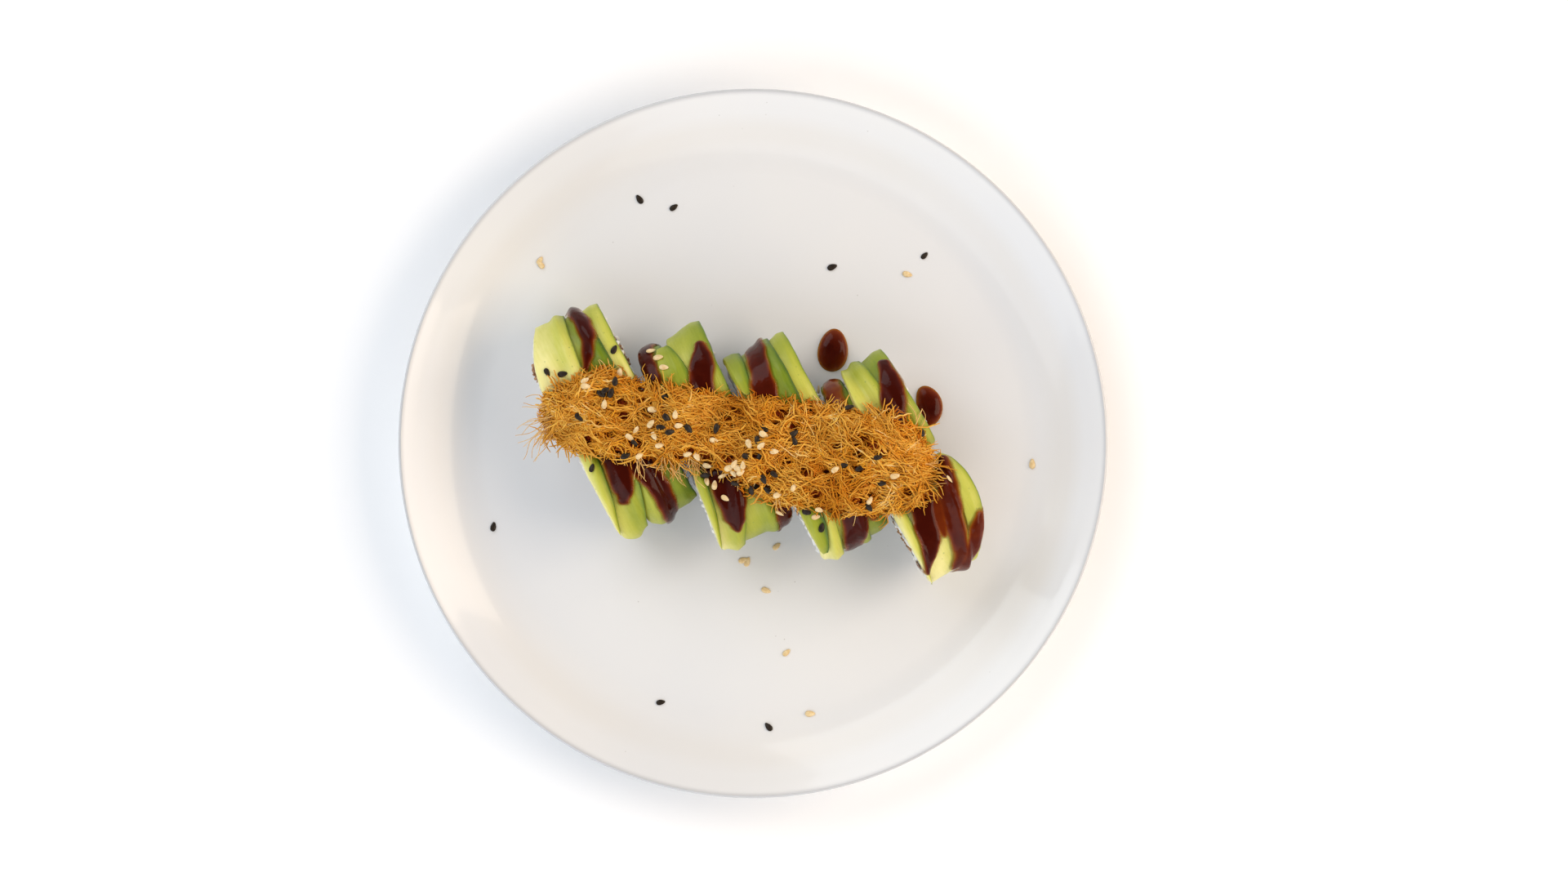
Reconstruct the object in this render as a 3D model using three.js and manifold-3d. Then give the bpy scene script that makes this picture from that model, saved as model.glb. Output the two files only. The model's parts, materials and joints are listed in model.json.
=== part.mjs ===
// A cut vegetable roll on its plate: eight pieces in two rows, each of rice round a nori
// sheet and a crisp filling, under fanned avocado slices with sauce and sesame, and a heap
// of crisp floss along the valley between the rows.
// Millimetres, +Z up. The origin is the plate's middle, on the surface that it stands on.

import * as THREE from 'three';
import { mergeVertices } from 'three/addons/utils/BufferGeometryUtils.js';
import Module from 'manifold-3d';

const wasm = await Module();
wasm.setup();

// ---------- driving dimensions ----------

const plate = {
  radius: 115, rimHeight: 17.5, flatRadius: 88, floorHeight: 6, curve: 1.6, wall: 3.8,
  footInner: 57, footOuter: 63, footDepth: 2.2, footSlope: 2, lip: 1.4, sides: 48,
};
const gap = 0.35; // between pieces that touch
const roll = { centre: 13.2, below: 13.2, above: 15, power: 2.3, lines: 14 };
const core = { halfWidth: 8.6, below: 6.6, above: 7.4, nori: 0.6, noriInset: 0.5 };
const crisp = { rough: 0.9, inset: 0.4, slim: 0.96, slimRough: 0.08 }; // the filling's broken ends
const slice = {
  thick: 2.2, edge: 1.1, bevel: 0.9, lean: 3.4, ramp: 3, settle: 0.8, clear: 0.25, tip: 0.62, tipLines: 1.2,
};
const sauce = { sunk: 0.8, edge: 0.35, tipWidth: 0.55, tipHeight: 0.6, tipReach: 0.3 };
const grain = { relief: 0.55, faceRelief: 0.6, rimInset: 0.4, rimDrop: 0.3 };
const seed = { length: 3.2, width: 1.85, height: 0.9, taper: 0.3, around: 5, along: 3, sunk: 0.2 };
const heap = { // the notch is a dip in its front edge
  start: -65, end: 58, middle: [-5.4, -1.6, 9.6], width: 33, height: 9.5, blunt: 5, rim: 1.2,
  notchAt: -17, notchWidth: 9, notch: 0.42, rows: 20, columns: 6, clear: 0.6, coreShare: 0.86,
  mapStep: 2, droop: 5, strands: 47, strandWidth: 0.75, strandLength: [9, 16], seeds: 12, seedSunk: 0.4,
};

// ---------- the eight pieces ----------
// Each stands at x, y, turned so that the roll's axis is its own X and the back is +Y.
// The cut faces and the slices' edges are places along the axis at the back, top and front.
// Slices lie in the order given, the lowest first, from one line of the section to another:
// line 0 is the back and line 7 the front. A run of sauce has a path of
// [along, across, width], and lies, as the seeds do, on the slice whose number it names.

const pieces = [
  {
    name: 'back_1', x: -54.9, y: 24, turn: 28, halfWidth: 15.4, shear: -0.13,
    left: [-8.6, -14.1, -14.1], right: [14, 14, 13.6], filling: [1.6, 1],
    slices: [
      { left: [9, 9.4, 11.4], right: [13.6, 13.9, 13.4], from: -1, to: 7 },
      { left: [1.2, -1, -1.6], right: [10.4, 10.9, 10.2], from: -1, to: 7 },
      { left: [-8, -14, -13.8], right: [3.2, 0.8, -3], from: -1, to: 7, thick: 2.4 },
    ],
    sauces: [{ on: 1, path: [[5.4, 16.6, 4.5], [7.2, 12.4, 5.6], [6.4, 7.3, 5], [4, 2, 3]], height: 1.3 }],
    seeds: [{ on: 2, at: [-9.7, 3], turn: 100 }, { on: 2, at: [-5.6, 0.3], turn: -25 },
      { on: 0, at: [12, -0.5], turn: 35 }],
  },
  {
    name: 'front_1', x: -37.7, y: -8.8, turn: 28, halfWidth: 15.4,
    left: [-14.1, -14.1, -14.1], right: [12.7, 13.2, 13.2], filling: [0.8, 0.5],
    slices: [
      { left: [2.6, 1.2, 0], right: [12.4, 12.9, 13], from: 0, to: 8 },
      { left: [-3.2, -4.3, -4], right: [1.6, 2.6, 1.4], from: 0, to: 8 },
      { left: [-8.6, -11.5, -13.4], right: [-4.2, -3, -2.5], from: 0, to: 8 },
      { left: [-13.8, -13.9, -13.8], right: [-9.6, -9.8, -12], from: 0, to: 7 },
    ],
    sauces: [
      { on: 2, path: [[-7, 7.7, 3.4], [-6.8, 3.2, 5], [-6.5, -1.8, 5.6], [-6.4, -6, 4.6]], height: 1.4 },
      { on: 0, path: [[5, -3.8, 4], [5.4, -9, 4.6], [5, -13.4, 4.4], [4.4, -16.6, 3.4]], height: 1.2 },
    ],
    seeds: [{ on: 3, at: [-11.6, 6.3], turn: 80 }],
  },
  {
    name: 'back_2', x: -20.4, y: 18.4, turn: 24, halfWidth: 15,
    left: [-11.2, -11.2, -10.9], right: [11.2, 11.2, 11.2], filling: [0.6, 0.7],
    slices: [
      { left: [-1.5, -0.6, 1.2], right: [10.9, 10.9, 10.9], from: -1, to: 7 },
      { left: [-10.9, -10.9, -10.6], right: [-3, -3, -4.6], from: -1, to: 7 },
      { left: [-4.6, -4.4, -3.4], right: [0.6, 1.8, 0], from: 1, to: 7 },
    ],
    sauces: [
      { on: 0, path: [[8.2, 9.8, 3.6], [6.8, 6.3, 5.4], [5, 1.2, 4.8], [4, -3, 3]], height: 1.5 },
      { on: 1, path: [[-8.6, 15.4, 3.6], [-8.1, 12.6, 4.4], [-7.8, 10.4, 3.4]], height: 0.9 },
    ],
    seeds: [{ on: 1, at: [-5.9, 13.9], turn: 5 }, { on: 1, at: [-7, 6.4], turn: -35 }],
  },
  {
    name: 'front_2', x: -5, y: -14.1, turn: 24, halfWidth: 15,
    left: [-11.4, -12.2, -13], right: [12, 12.8, 13], filling: [0.5, 0.6],
    slices: [
      { left: [9.3, 7.5, 6.5], right: [11.7, 12.5, 12.7], from: 0, to: 8 },
      { left: [3, 0.5, -7.5], right: [8.3, 9, 8], from: 0, to: 8 },
      { left: [-7.4, -9.9, -12.6], right: [2, 2, -6], from: 0, to: 8 },
      { left: [-11.1, -11.9, -12.7], right: [-8.4, -8.3, -11.2], from: 0, to: 7 },
    ],
    sauces: [
      { on: 2, path: [[-3.2, 9.4, 4.6], [-3.7, 4.4, 6.6], [-3.9, -2, 6.6], [-4.8, -8.6, 4.4]], height: 1.3 },
      { on: 1, path: [[5.8, -9, 3.6], [5.6, -12.4, 4.4], [4.8, -15.2, 3.4]], height: 1 },
    ],
    seeds: [{ on: 2, at: [-5.2, 3.7], turn: 20, lift: 1 }, { on: 2, at: [-4.4, -1.5], turn: -50, lift: 1 },
      { on: 1, at: [5.4, -11.8], turn: -60, lift: 0.8 }],
  },
  {
    name: 'back_3', x: 8.1, y: 15.1, turn: 28, halfWidth: 15.3,
    left: [-11, -11, -11], right: [11, 11, 11], filling: [0.6, 0.6],
    slices: [
      { left: [4.6, 5.2, 6.4], right: [10.7, 10.7, 10.7], from: -1, to: 7 },
      { left: [-10.6, -10.6, -10.6], right: [6, 6.7, 5.4], from: -1, to: 7 },
      { left: [-10.7, -10.7, -10.6], right: [-4, -5.6, -7], from: -1, to: 3 },
    ],
    sauces: [
      { on: 1, path: [[-0.2, 16.6, 5], [0, 12.4, 6.4], [-0.4, 7.2, 5.6], [-2, 1.6, 4.4]], height: 1.3 },
    ],
    seeds: [],
  },
  {
    name: 'front_3', x: 25.6, y: -16.9, turn: 28, halfWidth: 15.3,
    left: [-11.7, -12.4, -12.4], right: [12.2, 12.4, 12.4], filling: [0.6, 0.8],
    slices: [
      { left: [7.3, 5.5, 3.5], right: [11.9, 12.1, 12.1], from: 0, to: 8 },
      { left: [-0.2, -3, -7.5], right: [6.3, 7, 5], from: 0, to: 8 },
      { left: [-4.6, -8.5, -12.1], right: [-1.2, -1.5, -6], from: 0, to: 8 },
      { left: [-11.4, -12.1, -12.1], right: [-5.6, -5, -8], from: 0, to: 7 },
    ],
    sauces: [{ on: 1, path: [[1.8, -5.4, 4.6], [1.9, -9.6, 5.6], [1.6, -13.4, 3.6]], height: 1.4 }],
    seeds: [{ on: 3, at: [-9.6, -0.3], turn: -40 }, { on: 3, at: [-7.2, -1.9], turn: 70 },
      { on: 3, at: [-8.2, -6.9], turn: 35 }],
  },
  {
    name: 'back_4', x: 40.2, y: 8.5, turn: 30.7, halfWidth: 15.7,
    left: [-12.1, -12.1, -12.1], right: [12.2, 12.2, 12.2], filling: [0.6, 0.6],
    slices: [
      { left: [3, 4, 5.4], right: [11.9, 11.9, 11.9], from: -1, to: 7 },
      { left: [-11.8, -11.8, -11.8], right: [-4, -4.3, -6], from: -1, to: 7 },
      { left: [-3.5, -5.8, -5], right: [4.5, 6, 4.2], from: -1, to: 7, thick: 2.4 },
    ],
    sauces: [
      { on: 0, path: [[9.2, 12.4, 3.6], [9.2, 8, 4.2], [8.9, 3.2, 3.8], [8.4, -2.4, 3]], height: 1.4 },
      { on: 1, path: [[-8.2, 15.4, 3], [-8.2, 11.6, 3.2], [-8.8, 7.6, 3]], height: 0.8 },
    ],
    seeds: [{ on: 1, at: [-8, 2.6], turn: -10 }],
  },
  {
    name: 'front_4', x: 59.4, y: -23.4, turn: 30.7, halfWidth: 15.7,
    left: [-12.6, -13.2, -13.2], right: [12.2, 14.4, 5.6], filling: [1, 0.7],
    slices: [
      { left: [7.8, 6, -1], right: [11.9, 14.1, 5.2], from: 0, to: 8, thick: 2.4 },
      { left: [-7.2, -11.5, -12.8], right: [6.6, 7, -2.4], from: 0, to: 8 },
      { left: [-12.3, -12.9, -12.9], right: [-8.4, -8.6, -11.6], from: 0, to: 7 },
    ],
    sauces: [
      { on: 1, path: [[-3.8, 5, 5], [-4, 0.6, 7], [-4.8, -4.8, 6.4], [-7.4, -9.4, 4]], height: 1.4 },
      { on: 0, path: [[10.2, -5.4, 3], [8.4, -8.8, 4], [5, -12, 3.6]], height: 1 },
    ],
    seeds: [],
  },
];

// ---------- what lies on the plate ----------

const plateSeeds = [
  [-37.3, 80, -35], [-26.1, 77.4, 55], [25.8, 57.8, 20], [56.1, 61.6, 45], [-84.9, -26.8, 80],
  [-29.6, -82.8, 10], [4.7, -87, -50], [-66.5, 57, 60], [50.5, 55.4, -15], [87, -6.4, 90],
  [-3.3, -38.3, 15], [7.6, -33.7, 70], [4.2, -48.2, -20], [10.9, -68.6, 40], [18.2, -84.9, 0],
]; // x, y and heading
const plateDrops = [ // narrow makes an egg and bend a bean
  { x: 26.1, y: 30.6, turn: 84, length: 14.2, width: 10, height: 2.6, narrow: 0.12, bend: 0 },
  { x: 57.8, y: 12.4, turn: 100, length: 13.5, width: 8.6, height: 2.4, narrow: 0, bend: 0.9 },
];

// ---------- materials ----------

const finish = (color, roughness) => new THREE.MeshStandardMaterial({ color, roughness, metalness: 0 });
const materials = {
  plate: finish('#e9e8e6', 0.25),
  rice: finish('#efece2', 0.5),
  nori: finish('#1d2a22', 0.6),
  filling: finish('#96683f', 0.8),
  avocado: finish('#b3c45c', 0.4),
  sauce: finish('#3a0f08', 0.15),
  floss: finish('#c98a2e', 0.7),
};

// ---------- small helpers ----------

const { abs, acos, ceil, cos, exp, hypot, max, min, PI, round, sign, sin } = Math;
const radians = (degrees) => (degrees * PI) / 180;
const lerp = (a, b, t) => a + (b - a) * t;
const clamp = (value, low, high) => min(high, max(low, value));
const smooth = (t) => { const c = clamp(t, 0, 1); return c * c * (3 - 2 * c); };

function randomFrom(start) { // a repeatable row of draws from 0 to 1
  let state = start;
  return () => {
    state = (state + 0x6d2b79f5) | 0;
    let t = Math.imul(state ^ (state >>> 15), 1 | state);
    t = (t + Math.imul(t ^ (t >>> 7), 61 | t)) ^ t;
    return ((t ^ (t >>> 14)) >>> 0) / 4294967296;
  };
}

// A value given at the back, top and front, as a curve over s = 1, 0, -1.
const across = ([back, top, front], s) => top + ((back - front) / 2) * s + ((back + front) / 2 - top) * s * s;

function closedGeometry(points, triangles) { // faces are turned outwards
  let volume = 0;
  const cross = new THREE.Vector3();
  for (let i = 0; i < triangles.length; i += 3) {
    cross.crossVectors(points[triangles[i + 1]], points[triangles[i + 2]]);
    volume += points[triangles[i]].dot(cross);
  }
  const geometry = new THREE.BufferGeometry();
  geometry.setAttribute('position', new THREE.Float32BufferAttribute(points.flatMap((p) => p.toArray()), 3));
  geometry.setIndex(volume < 0 ? triangles.reverse() : triangles);
  return geometry;
}

function slabGeometry(rows, columns, topPoint, bottomPoint) { // two like grids and the wall between
  const points = [];
  for (const corner of [topPoint, bottomPoint]) {
    for (let i = 0; i <= rows; i++) for (let j = 0; j <= columns; j++) points.push(corner(i, j));
  }
  const top = (i, j) => i * (columns + 1) + j;
  const bottom = (i, j) => (rows + 1) * (columns + 1) + top(i, j);
  const triangles = [];
  const quad = (a, b, c, d) => triangles.push(a, b, c, a, c, d);
  for (let i = 0; i < rows; i++) {
    for (let j = 0; j < columns; j++) {
      quad(top(i, j), top(i, j + 1), top(i + 1, j + 1), top(i + 1, j));
      quad(bottom(i, j), bottom(i + 1, j), bottom(i + 1, j + 1), bottom(i, j + 1));
    }
    quad(top(i, 0), top(i + 1, 0), bottom(i + 1, 0), bottom(i, 0));
    quad(top(i, columns), bottom(i, columns), bottom(i + 1, columns), top(i + 1, columns));
  }
  for (let j = 0; j < columns; j++) {
    quad(top(0, j), bottom(0, j), bottom(0, j + 1), top(0, j + 1));
    quad(top(rows, j), top(rows, j + 1), bottom(rows, j + 1), bottom(rows, j));
  }
  return closedGeometry(points, triangles);
}

function loopGeometry(lines, loop, pointAt) { // a closed profile carried once round
  const points = [];
  for (let i = 0; i < lines; i++) for (let k = 0; k < loop; k++) points.push(pointAt(i, k));
  const at = (i, k) => (i % lines) * loop + (k % loop);
  const triangles = [];
  for (let i = 0; i < lines; i++) {
    for (let k = 0; k < loop; k++) {
      triangles.push(at(i, k), at(i + 1, k), at(i + 1, k + 1), at(i, k), at(i + 1, k + 1), at(i, k + 1));
    }
  }
  return closedGeometry(points, triangles);
}

function domeGeometry(rings, sides, pointAt, endPoints) { // rings closed by a point at each end
  const points = [];
  for (let r = 0; r < rings; r++) for (let k = 0; k < sides; k++) points.push(pointAt(r, k));
  points.push(endPoints[0], endPoints[1]);
  const at = (r, k) => r * sides + (k % sides);
  const triangles = [];
  for (let k = 0; k < sides; k++) {
    for (let r = 0; r < rings - 1; r++) {
      triangles.push(at(r, k), at(r, k + 1), at(r + 1, k + 1), at(r, k), at(r + 1, k + 1), at(r + 1, k));
    }
    triangles.push(rings * sides, at(0, k + 1), at(0, k));
    triangles.push(rings * sides + 1, at(rings - 1, k), at(rings - 1, k + 1));
  }
  return closedGeometry(points, triangles);
}

function toSolid(geometry) {
  const bare = geometry.clone();
  bare.deleteAttribute('normal');
  bare.deleteAttribute('uv');
  const merged = mergeVertices(bare, 1e-4);
  const corners = Array.from(merged.index.array);
  const triangles = [];
  for (let i = 0; i < corners.length; i += 3) {
    const [a, b, c] = corners.slice(i, i + 3);
    if (a !== b && b !== c && c !== a) triangles.push(a, b, c);
  }
  return new wasm.Manifold(new wasm.Mesh({
    numProp: 3, vertProperties: merged.attributes.position.array, triVerts: new Uint32Array(triangles),
  }));
}

function toGeometry(solid) { // the largest connected body, without loose scraps
  const bodies = solid.decompose().sort((a, b) => b.volume() - a.volume());
  const mesh = bodies[0].getMesh();
  const geometry = new THREE.BufferGeometry();
  geometry.setAttribute('position', new THREE.BufferAttribute(Float32Array.from(mesh.vertProperties), 3));
  geometry.setIndex(Array.from(mesh.triVerts));
  return geometry;
}

function namedMesh(name, geometry, material) {
  const mesh = new THREE.Mesh(geometry, material);
  mesh.name = name;
  return mesh;
}

// ---------- sesame ----------

function seedSolid(position, heading, up = new THREE.Vector3(0, 0, 1)) { // a flat teardrop
  const geometry = new THREE.SphereGeometry(0.5, seed.around, seed.along);
  geometry.rotateZ(PI / 2);
  const place = geometry.attributes.position;
  for (let i = 0; i < place.count; i++) {
    const x = place.getX(i);
    const broad = 1 - seed.taper * 2 * x;
    place.setXYZ(i, x * seed.length, place.getY(i) * seed.width * broad, place.getZ(i) * seed.height);
  }
  geometry.rotateZ(radians(heading));
  geometry.applyQuaternion(new THREE.Quaternion().setFromUnitVectors(new THREE.Vector3(0, 0, 1), up));
  const lifted = position.clone().addScaledVector(up, seed.height / 2 - seed.sunk);
  geometry.translate(lifted.x, lifted.y, lifted.z);
  return toSolid(geometry);
}

// ---------- the plate ----------

function plateHeight(r) { // of the upper face
  const t = clamp((r - plate.flatRadius) / (plate.radius - plate.lip - plate.flatRadius), 0, 1);
  return plate.floorHeight + (plate.rimHeight - plate.floorHeight) * t ** plate.curve;
}

function platePoints() { // the section from the axis underneath to the axis on top
  const { radius, footInner, footOuter, footDepth, footSlope, flatRadius, wall, lip, rimHeight } = plate;
  const under = plate.floorHeight - wall;
  const points = [[0, footDepth], [footInner - footSlope, footDepth], [footInner, 0]];
  points.push([footOuter, 0], [footOuter + footSlope, under]);
  const steps = 3;
  const inner = Array.from({ length: steps }, (_, i) => lerp(flatRadius, radius - lip, i / steps));
  for (const r of inner) points.push([r + wall / 2, plateHeight(r) - wall]);
  points.push([radius, rimHeight - lip], [radius - lip * 0.35, rimHeight - lip * 0.25]);
  points.push([radius - lip, rimHeight]);
  for (const r of inner.reverse()) points.push([r, plateHeight(r)]);
  points.push([0, plate.floorHeight]);
  return points.map(([r, z]) => new THREE.Vector2(r, z));
}

function plateGeometry() {
  const turned = new THREE.LatheGeometry(platePoints(), plate.sides);
  turned.rotateX(PI / 2);
  let solid = toSolid(turned);
  for (const [x, y, heading] of plateSeeds) {
    solid = solid.add(seedSolid(new THREE.Vector3(x, y, plateHeight(hypot(x, y))), heading));
  }
  return toGeometry(solid);
}

function dropGeometry(drop) { // a low dome of sauce with an egg or bean outline
  const sides = 14;
  const rings = [[0.9, 0], [1, 0.22], [0.82, 0.72], [0.45, 0.96]]; // share of the outline, of the height
  const pointAt = (r, k) => {
    const angle = (2 * PI * k) / sides;
    const [share, rise] = rings[r];
    const x = (drop.length / 2) * cos(angle) * share;
    const y = (drop.width / 2) * sin(angle) * share * (1 - drop.narrow * cos(angle));
    return new THREE.Vector3(x, y + drop.bend * cos(angle) ** 2, rise * drop.height);
  };
  const middle = (z) => new THREE.Vector3(0, 0, z);
  const geometry = domeGeometry(rings.length, sides, pointAt, [middle(0), middle(drop.height)]);
  geometry.rotateZ(radians(drop.turn));
  geometry.translate(drop.x, drop.y, plate.floorHeight + gap);
  return geometry;
}

// ---------- the section of a piece ----------
// The section is a squared oval. theta runs from the back (0) over the top to the front (PI).

const lineAngle = (line) => (2 * PI * line) / roll.lines;
const swell = (value, power) => sign(value) * abs(value) ** (2 / power);

function ovalPoint(piece, along, theta, half, above, below, centre = roll.centre) {
  const y = half * swell(cos(theta), roll.power);
  const z = centre + (sin(theta) > 0 ? above : below) * swell(sin(theta), roll.power);
  return new THREE.Vector3(along, y + (piece.shear ?? 0) * along, z);
}

function rollPoint(piece, along, theta, height) { // height is out from the rice
  const { above, below } = roll;
  return ovalPoint(piece, along, theta, piece.halfWidth + height, above + height, below + min(height, 0));
}

const sideShare = (theta) => swell(cos(theta), roll.power); // 1 at the back, -1 at the front
const thetaAt = (piece, y) => acos(swell(clamp(y / (piece.halfWidth + 1), -1, 1), 4 / roll.power));

function riceGeometry(piece, random) { // a ring with bumps of a grain's size
  const loop = 7; // left rim, middle and right rim outside, then two points on each cut face
  const inside = { half: core.halfWidth + gap, above: core.above + gap, below: core.below + gap };
  const draws = Array.from({ length: roll.lines * loop }, random);
  return loopGeometry(roll.lines, loop, (i, k) => {
    const theta = lineAngle(i);
    const s = sideShare(theta);
    const left = across(piece.left, s);
    const right = across(piece.right, s);
    const draw = draws[i * loop + k];
    const share = lerp(0.35, 0.65, draw);
    const dent = -grain.relief * draw;
    if (k === 0) return rollPoint(piece, left + grain.rimInset, theta, dent / 2 - grain.rimDrop);
    if (k === 1) return rollPoint(piece, lerp(left, right, share), theta, dent);
    if (k === 2) return rollPoint(piece, right - grain.rimInset, theta, dent / 2 - grain.rimDrop);
    const face = k < 5 ? 1 : -1;
    const flat = across(face > 0 ? piece.right : piece.left, s * 0.75) - face * grain.faceRelief * (1 - draw);
    const out = k === 3 || k === 6 ? share : 0;
    return ovalPoint(piece, flat, theta, lerp(inside.half, piece.halfWidth, out),
      lerp(inside.above, roll.above, out), lerp(inside.below, roll.below, out));
  });
}

function noriGeometry(piece) { // a thin sheet wrapped round the filling
  return loopGeometry(roll.lines, 4, (i, k) => {
    const theta = lineAngle(i);
    const s = sideShare(theta) * 0.6;
    const thinner = k === 0 || k === 3 ? 0 : core.nori;
    const along = k < 2 ? across(piece.left, s) + core.noriInset : across(piece.right, s) - core.noriInset;
    const [half, above, below] = [core.halfWidth, core.above, core.below].map((size) => size - thinner);
    return ovalPoint(piece, along, theta, half, above, below);
  });
}

function fillingGeometry(piece, random) { // rough, and it stands out of both cut faces
  const inset = core.nori + gap;
  const [outLeft, outRight] = piece.filling;
  const ends = [across(piece.left, 0) - outLeft, across(piece.right, 0) + outRight];
  const draws = Array.from({ length: ends.length * roll.lines }, random);
  const pointAt = (end, k) => {
    const draw = draws[end * roll.lines + k];
    const along = ends[end] + (end === 0 ? 1 : -1) * (crisp.inset + crisp.rough * draw);
    const size = crisp.slim - crisp.slimRough * draw;
    return ovalPoint(piece, along, lineAngle(k), (core.halfWidth - inset) * size, (core.above - inset) * size,
      (core.below - inset) * size);
  };
  const middle = (along) => new THREE.Vector3(along, (piece.shear ?? 0) * along, roll.centre);
  return domeGeometry(ends.length, roll.lines, pointAt, [middle(ends[0]), middle(ends[1])]);
}

// ---------- avocado slices ----------

function sliceEdges(piece, one, theta) { // where it starts and ends along the axis, with round ends
  const s = sideShare(theta);
  const left = across(one.left, s);
  const right = across(one.right, s);
  const toEnd = min(theta - lineAngle(one.from), lineAngle(one.to) - theta);
  const share = lerp(slice.tip, 1, smooth(toEnd / lineAngle(slice.tipLines)));
  const middle = (left + right) / 2;
  return [lerp(middle, left, share), lerp(middle, right, share)];
}

// How far the underside stands off the rice: on the rice itself, or over the slices below.
function sliceBase(piece, order, along, theta) {
  let height = gap;
  const [ownLeft, ownRight] = sliceEdges(piece, piece.slices[order], theta);
  for (let k = 0; k < order; k++) {
    const below = piece.slices[k];
    if (theta < lineAngle(below.from - 0.7) || theta > lineAngle(below.to + 0.7)) continue;
    const [left, right] = sliceEdges(piece, below, theta);
    const shared = min(right, ownRight) - max(left, ownLeft);
    const inside = min(along - left, right - along);
    const lift = smooth((inside + slice.ramp) / slice.ramp) * clamp(shared / slice.settle + 1, 0, 1);
    const top = sliceBase(piece, k, clamp(along, left, right), theta) + (below.thick ?? slice.thick);
    height = max(height, lerp(gap, top + gap, lift));
  }
  return height;
}

function sliceGeometry(piece, order, grow = 0) { // grow makes the clearance round it
  const one = piece.slices[order];
  const rows = one.to - one.from;
  const columns = 3;
  const overEnd = grow / roll.above; // as an angle
  const corner = (i, j, upper) => {
    const theta = lineAngle(one.from + i);
    const [left, right] = sliceEdges(piece, one, theta);
    const inner = left + min(slice.bevel, (right - left) * 0.3);
    const outer = right - min(slice.lean, (right - left) * 0.45);
    const along = [left, inner, outer, right][j];
    const base = sliceBase(piece, order, along, theta);
    const rim = j === 0 || j === columns || i === 0 || i === rows;
    const thick = rim ? slice.edge : one.thick ?? slice.thick;
    const side = [-1, 0, 0, 1][j];
    const end = i === 0 ? -1 : Number(i === rows);
    const height = base + (upper ? thick + grow : -grow);
    return rollPoint(piece, along + side * grow, theta + end * overEnd, height);
  };
  return slabGeometry(rows, columns, (i, j) => corner(i, j, true), (i, j) => corner(i, j, false));
}

const sliceTop = (piece, order, along, theta) => sliceBase(piece, order, along, theta)
  + (piece.slices[order].thick ?? slice.thick);

function sauceSolid(piece, streak) { // a raised run of sauce, sunk into its slice
  const rows = streak.path.length + 1;
  const profile = [[-1, 0], [-0.55, 1], [0.55, 1], [1, 0]];
  const corner = (i, j, upper) => {
    const [along, y, width] = streak.path[clamp(i - 1, 0, streak.path.length - 1)];
    const [next, nextY] = streak.path[i === 0 ? 1 : streak.path.length - 2];
    const end = i === 0 || i === rows;
    const reach = end ? (width * sauce.tipReach) / hypot(along - next, y - nextY) : 0;
    const [share, rise] = profile[j];
    const place = lerp(along, next, -reach) + share * (width / 2) * (end ? sauce.tipWidth : 1);
    const theta = thetaAt(piece, lerp(y, nextY, -reach));
    const under = sliceTop(piece, streak.on, place, theta);
    const height = rise ? streak.height * (end ? sauce.tipHeight : 1) : -sauce.edge;
    return rollPoint(piece, place, theta, under + (upper ? height : -sauce.sunk));
  };
  const [upper, lower] = [true, false].map((isUpper) => (i, j) => corner(i, j, isUpper));
  return toSolid(slabGeometry(rows, profile.length - 1, upper, lower));
}

function sliceSeed(piece, { on, at: [along, y], turn, lift = 0 }) {
  const theta = thetaAt(piece, y);
  const height = sliceTop(piece, on, along, theta) + lift;
  const place = rollPoint(piece, along, theta, height);
  const up = rollPoint(piece, along, theta, height + 1).sub(place).normalize();
  return seedSolid(place, turn, up);
}

// The slice with its sauce and seeds, cut clear of the slices that lie over it.
function dressedSlice(piece, order) {
  const streaks = piece.sauces.filter(({ on }) => on === order);
  const seeds = piece.seeds.filter(({ on }) => on === order);
  const over = piece.slices.map((_, k) => k).filter((k) => k > order);
  let solid = toSolid(sliceGeometry(piece, order));
  for (const streak of streaks) solid = solid.add(sauceSolid(piece, streak));
  for (const one of seeds) solid = solid.add(sliceSeed(piece, one));
  for (const k of over) {
    const touches = solid.intersect(toSolid(sliceGeometry(piece, k))).volume() > 1e-3;
    if (touches) solid = solid.subtract(toSolid(sliceGeometry(piece, k, slice.clear)));
  }
  return toGeometry(solid);
}

function pieceGroup(piece, number) {
  const random = randomFrom(100 + number);
  const group = new THREE.Group();
  group.position.set(piece.x, piece.y, plate.floorHeight + gap);
  group.rotation.z = radians(piece.turn);
  group.add(namedMesh(`${piece.name}_rice`, riceGeometry(piece, random), materials.rice));
  group.add(namedMesh(`${piece.name}_nori`, noriGeometry(piece), materials.nori));
  group.add(namedMesh(`${piece.name}_filling`, fillingGeometry(piece, random), materials.filling));
  piece.slices.forEach((_, order) => {
    group.add(namedMesh(`${piece.name}_avocado_${order + 1}`, dressedSlice(piece, order), materials.avocado));
  });
  return group;
}

// ---------- the floss heap ----------

function surfaceMap(carriers) { // the highest point of the pieces under each spot of the heap
  const ray = new THREE.Raycaster();
  const down = new THREE.Vector3(0, 0, -1);
  const step = heap.mapStep;
  const reach = ceil((heap.end - heap.start) / 2 / step) + 10;
  const deep = ceil(heap.width / step);
  const middle = round((heap.start + heap.end) / 2 / step);
  const heights = new Map();
  const key = (i, j) => i * 1000 + j;
  for (let i = middle - reach; i <= middle + reach; i++) {
    for (let j = -deep; j <= deep; j++) {
      ray.set(new THREE.Vector3(i * step, j * step, 200), down);
      const hit = ray.intersectObjects(carriers, false)[0];
      heights.set(key(i, j), hit ? hit.point.z : plate.floorHeight);
    }
  }
  return (x, y, around = 2) => { // the highest of the spots round x, y
    const [i0, j0] = [round(x / step), round(y / step)];
    let best = plate.floorHeight;
    for (let i = -around; i <= around; i++) {
      for (let j = -around; j <= around; j++) best = max(best, heights.get(key(i0 + i, j0 + j)) ?? 0);
    }
    return best;
  };
}

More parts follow.
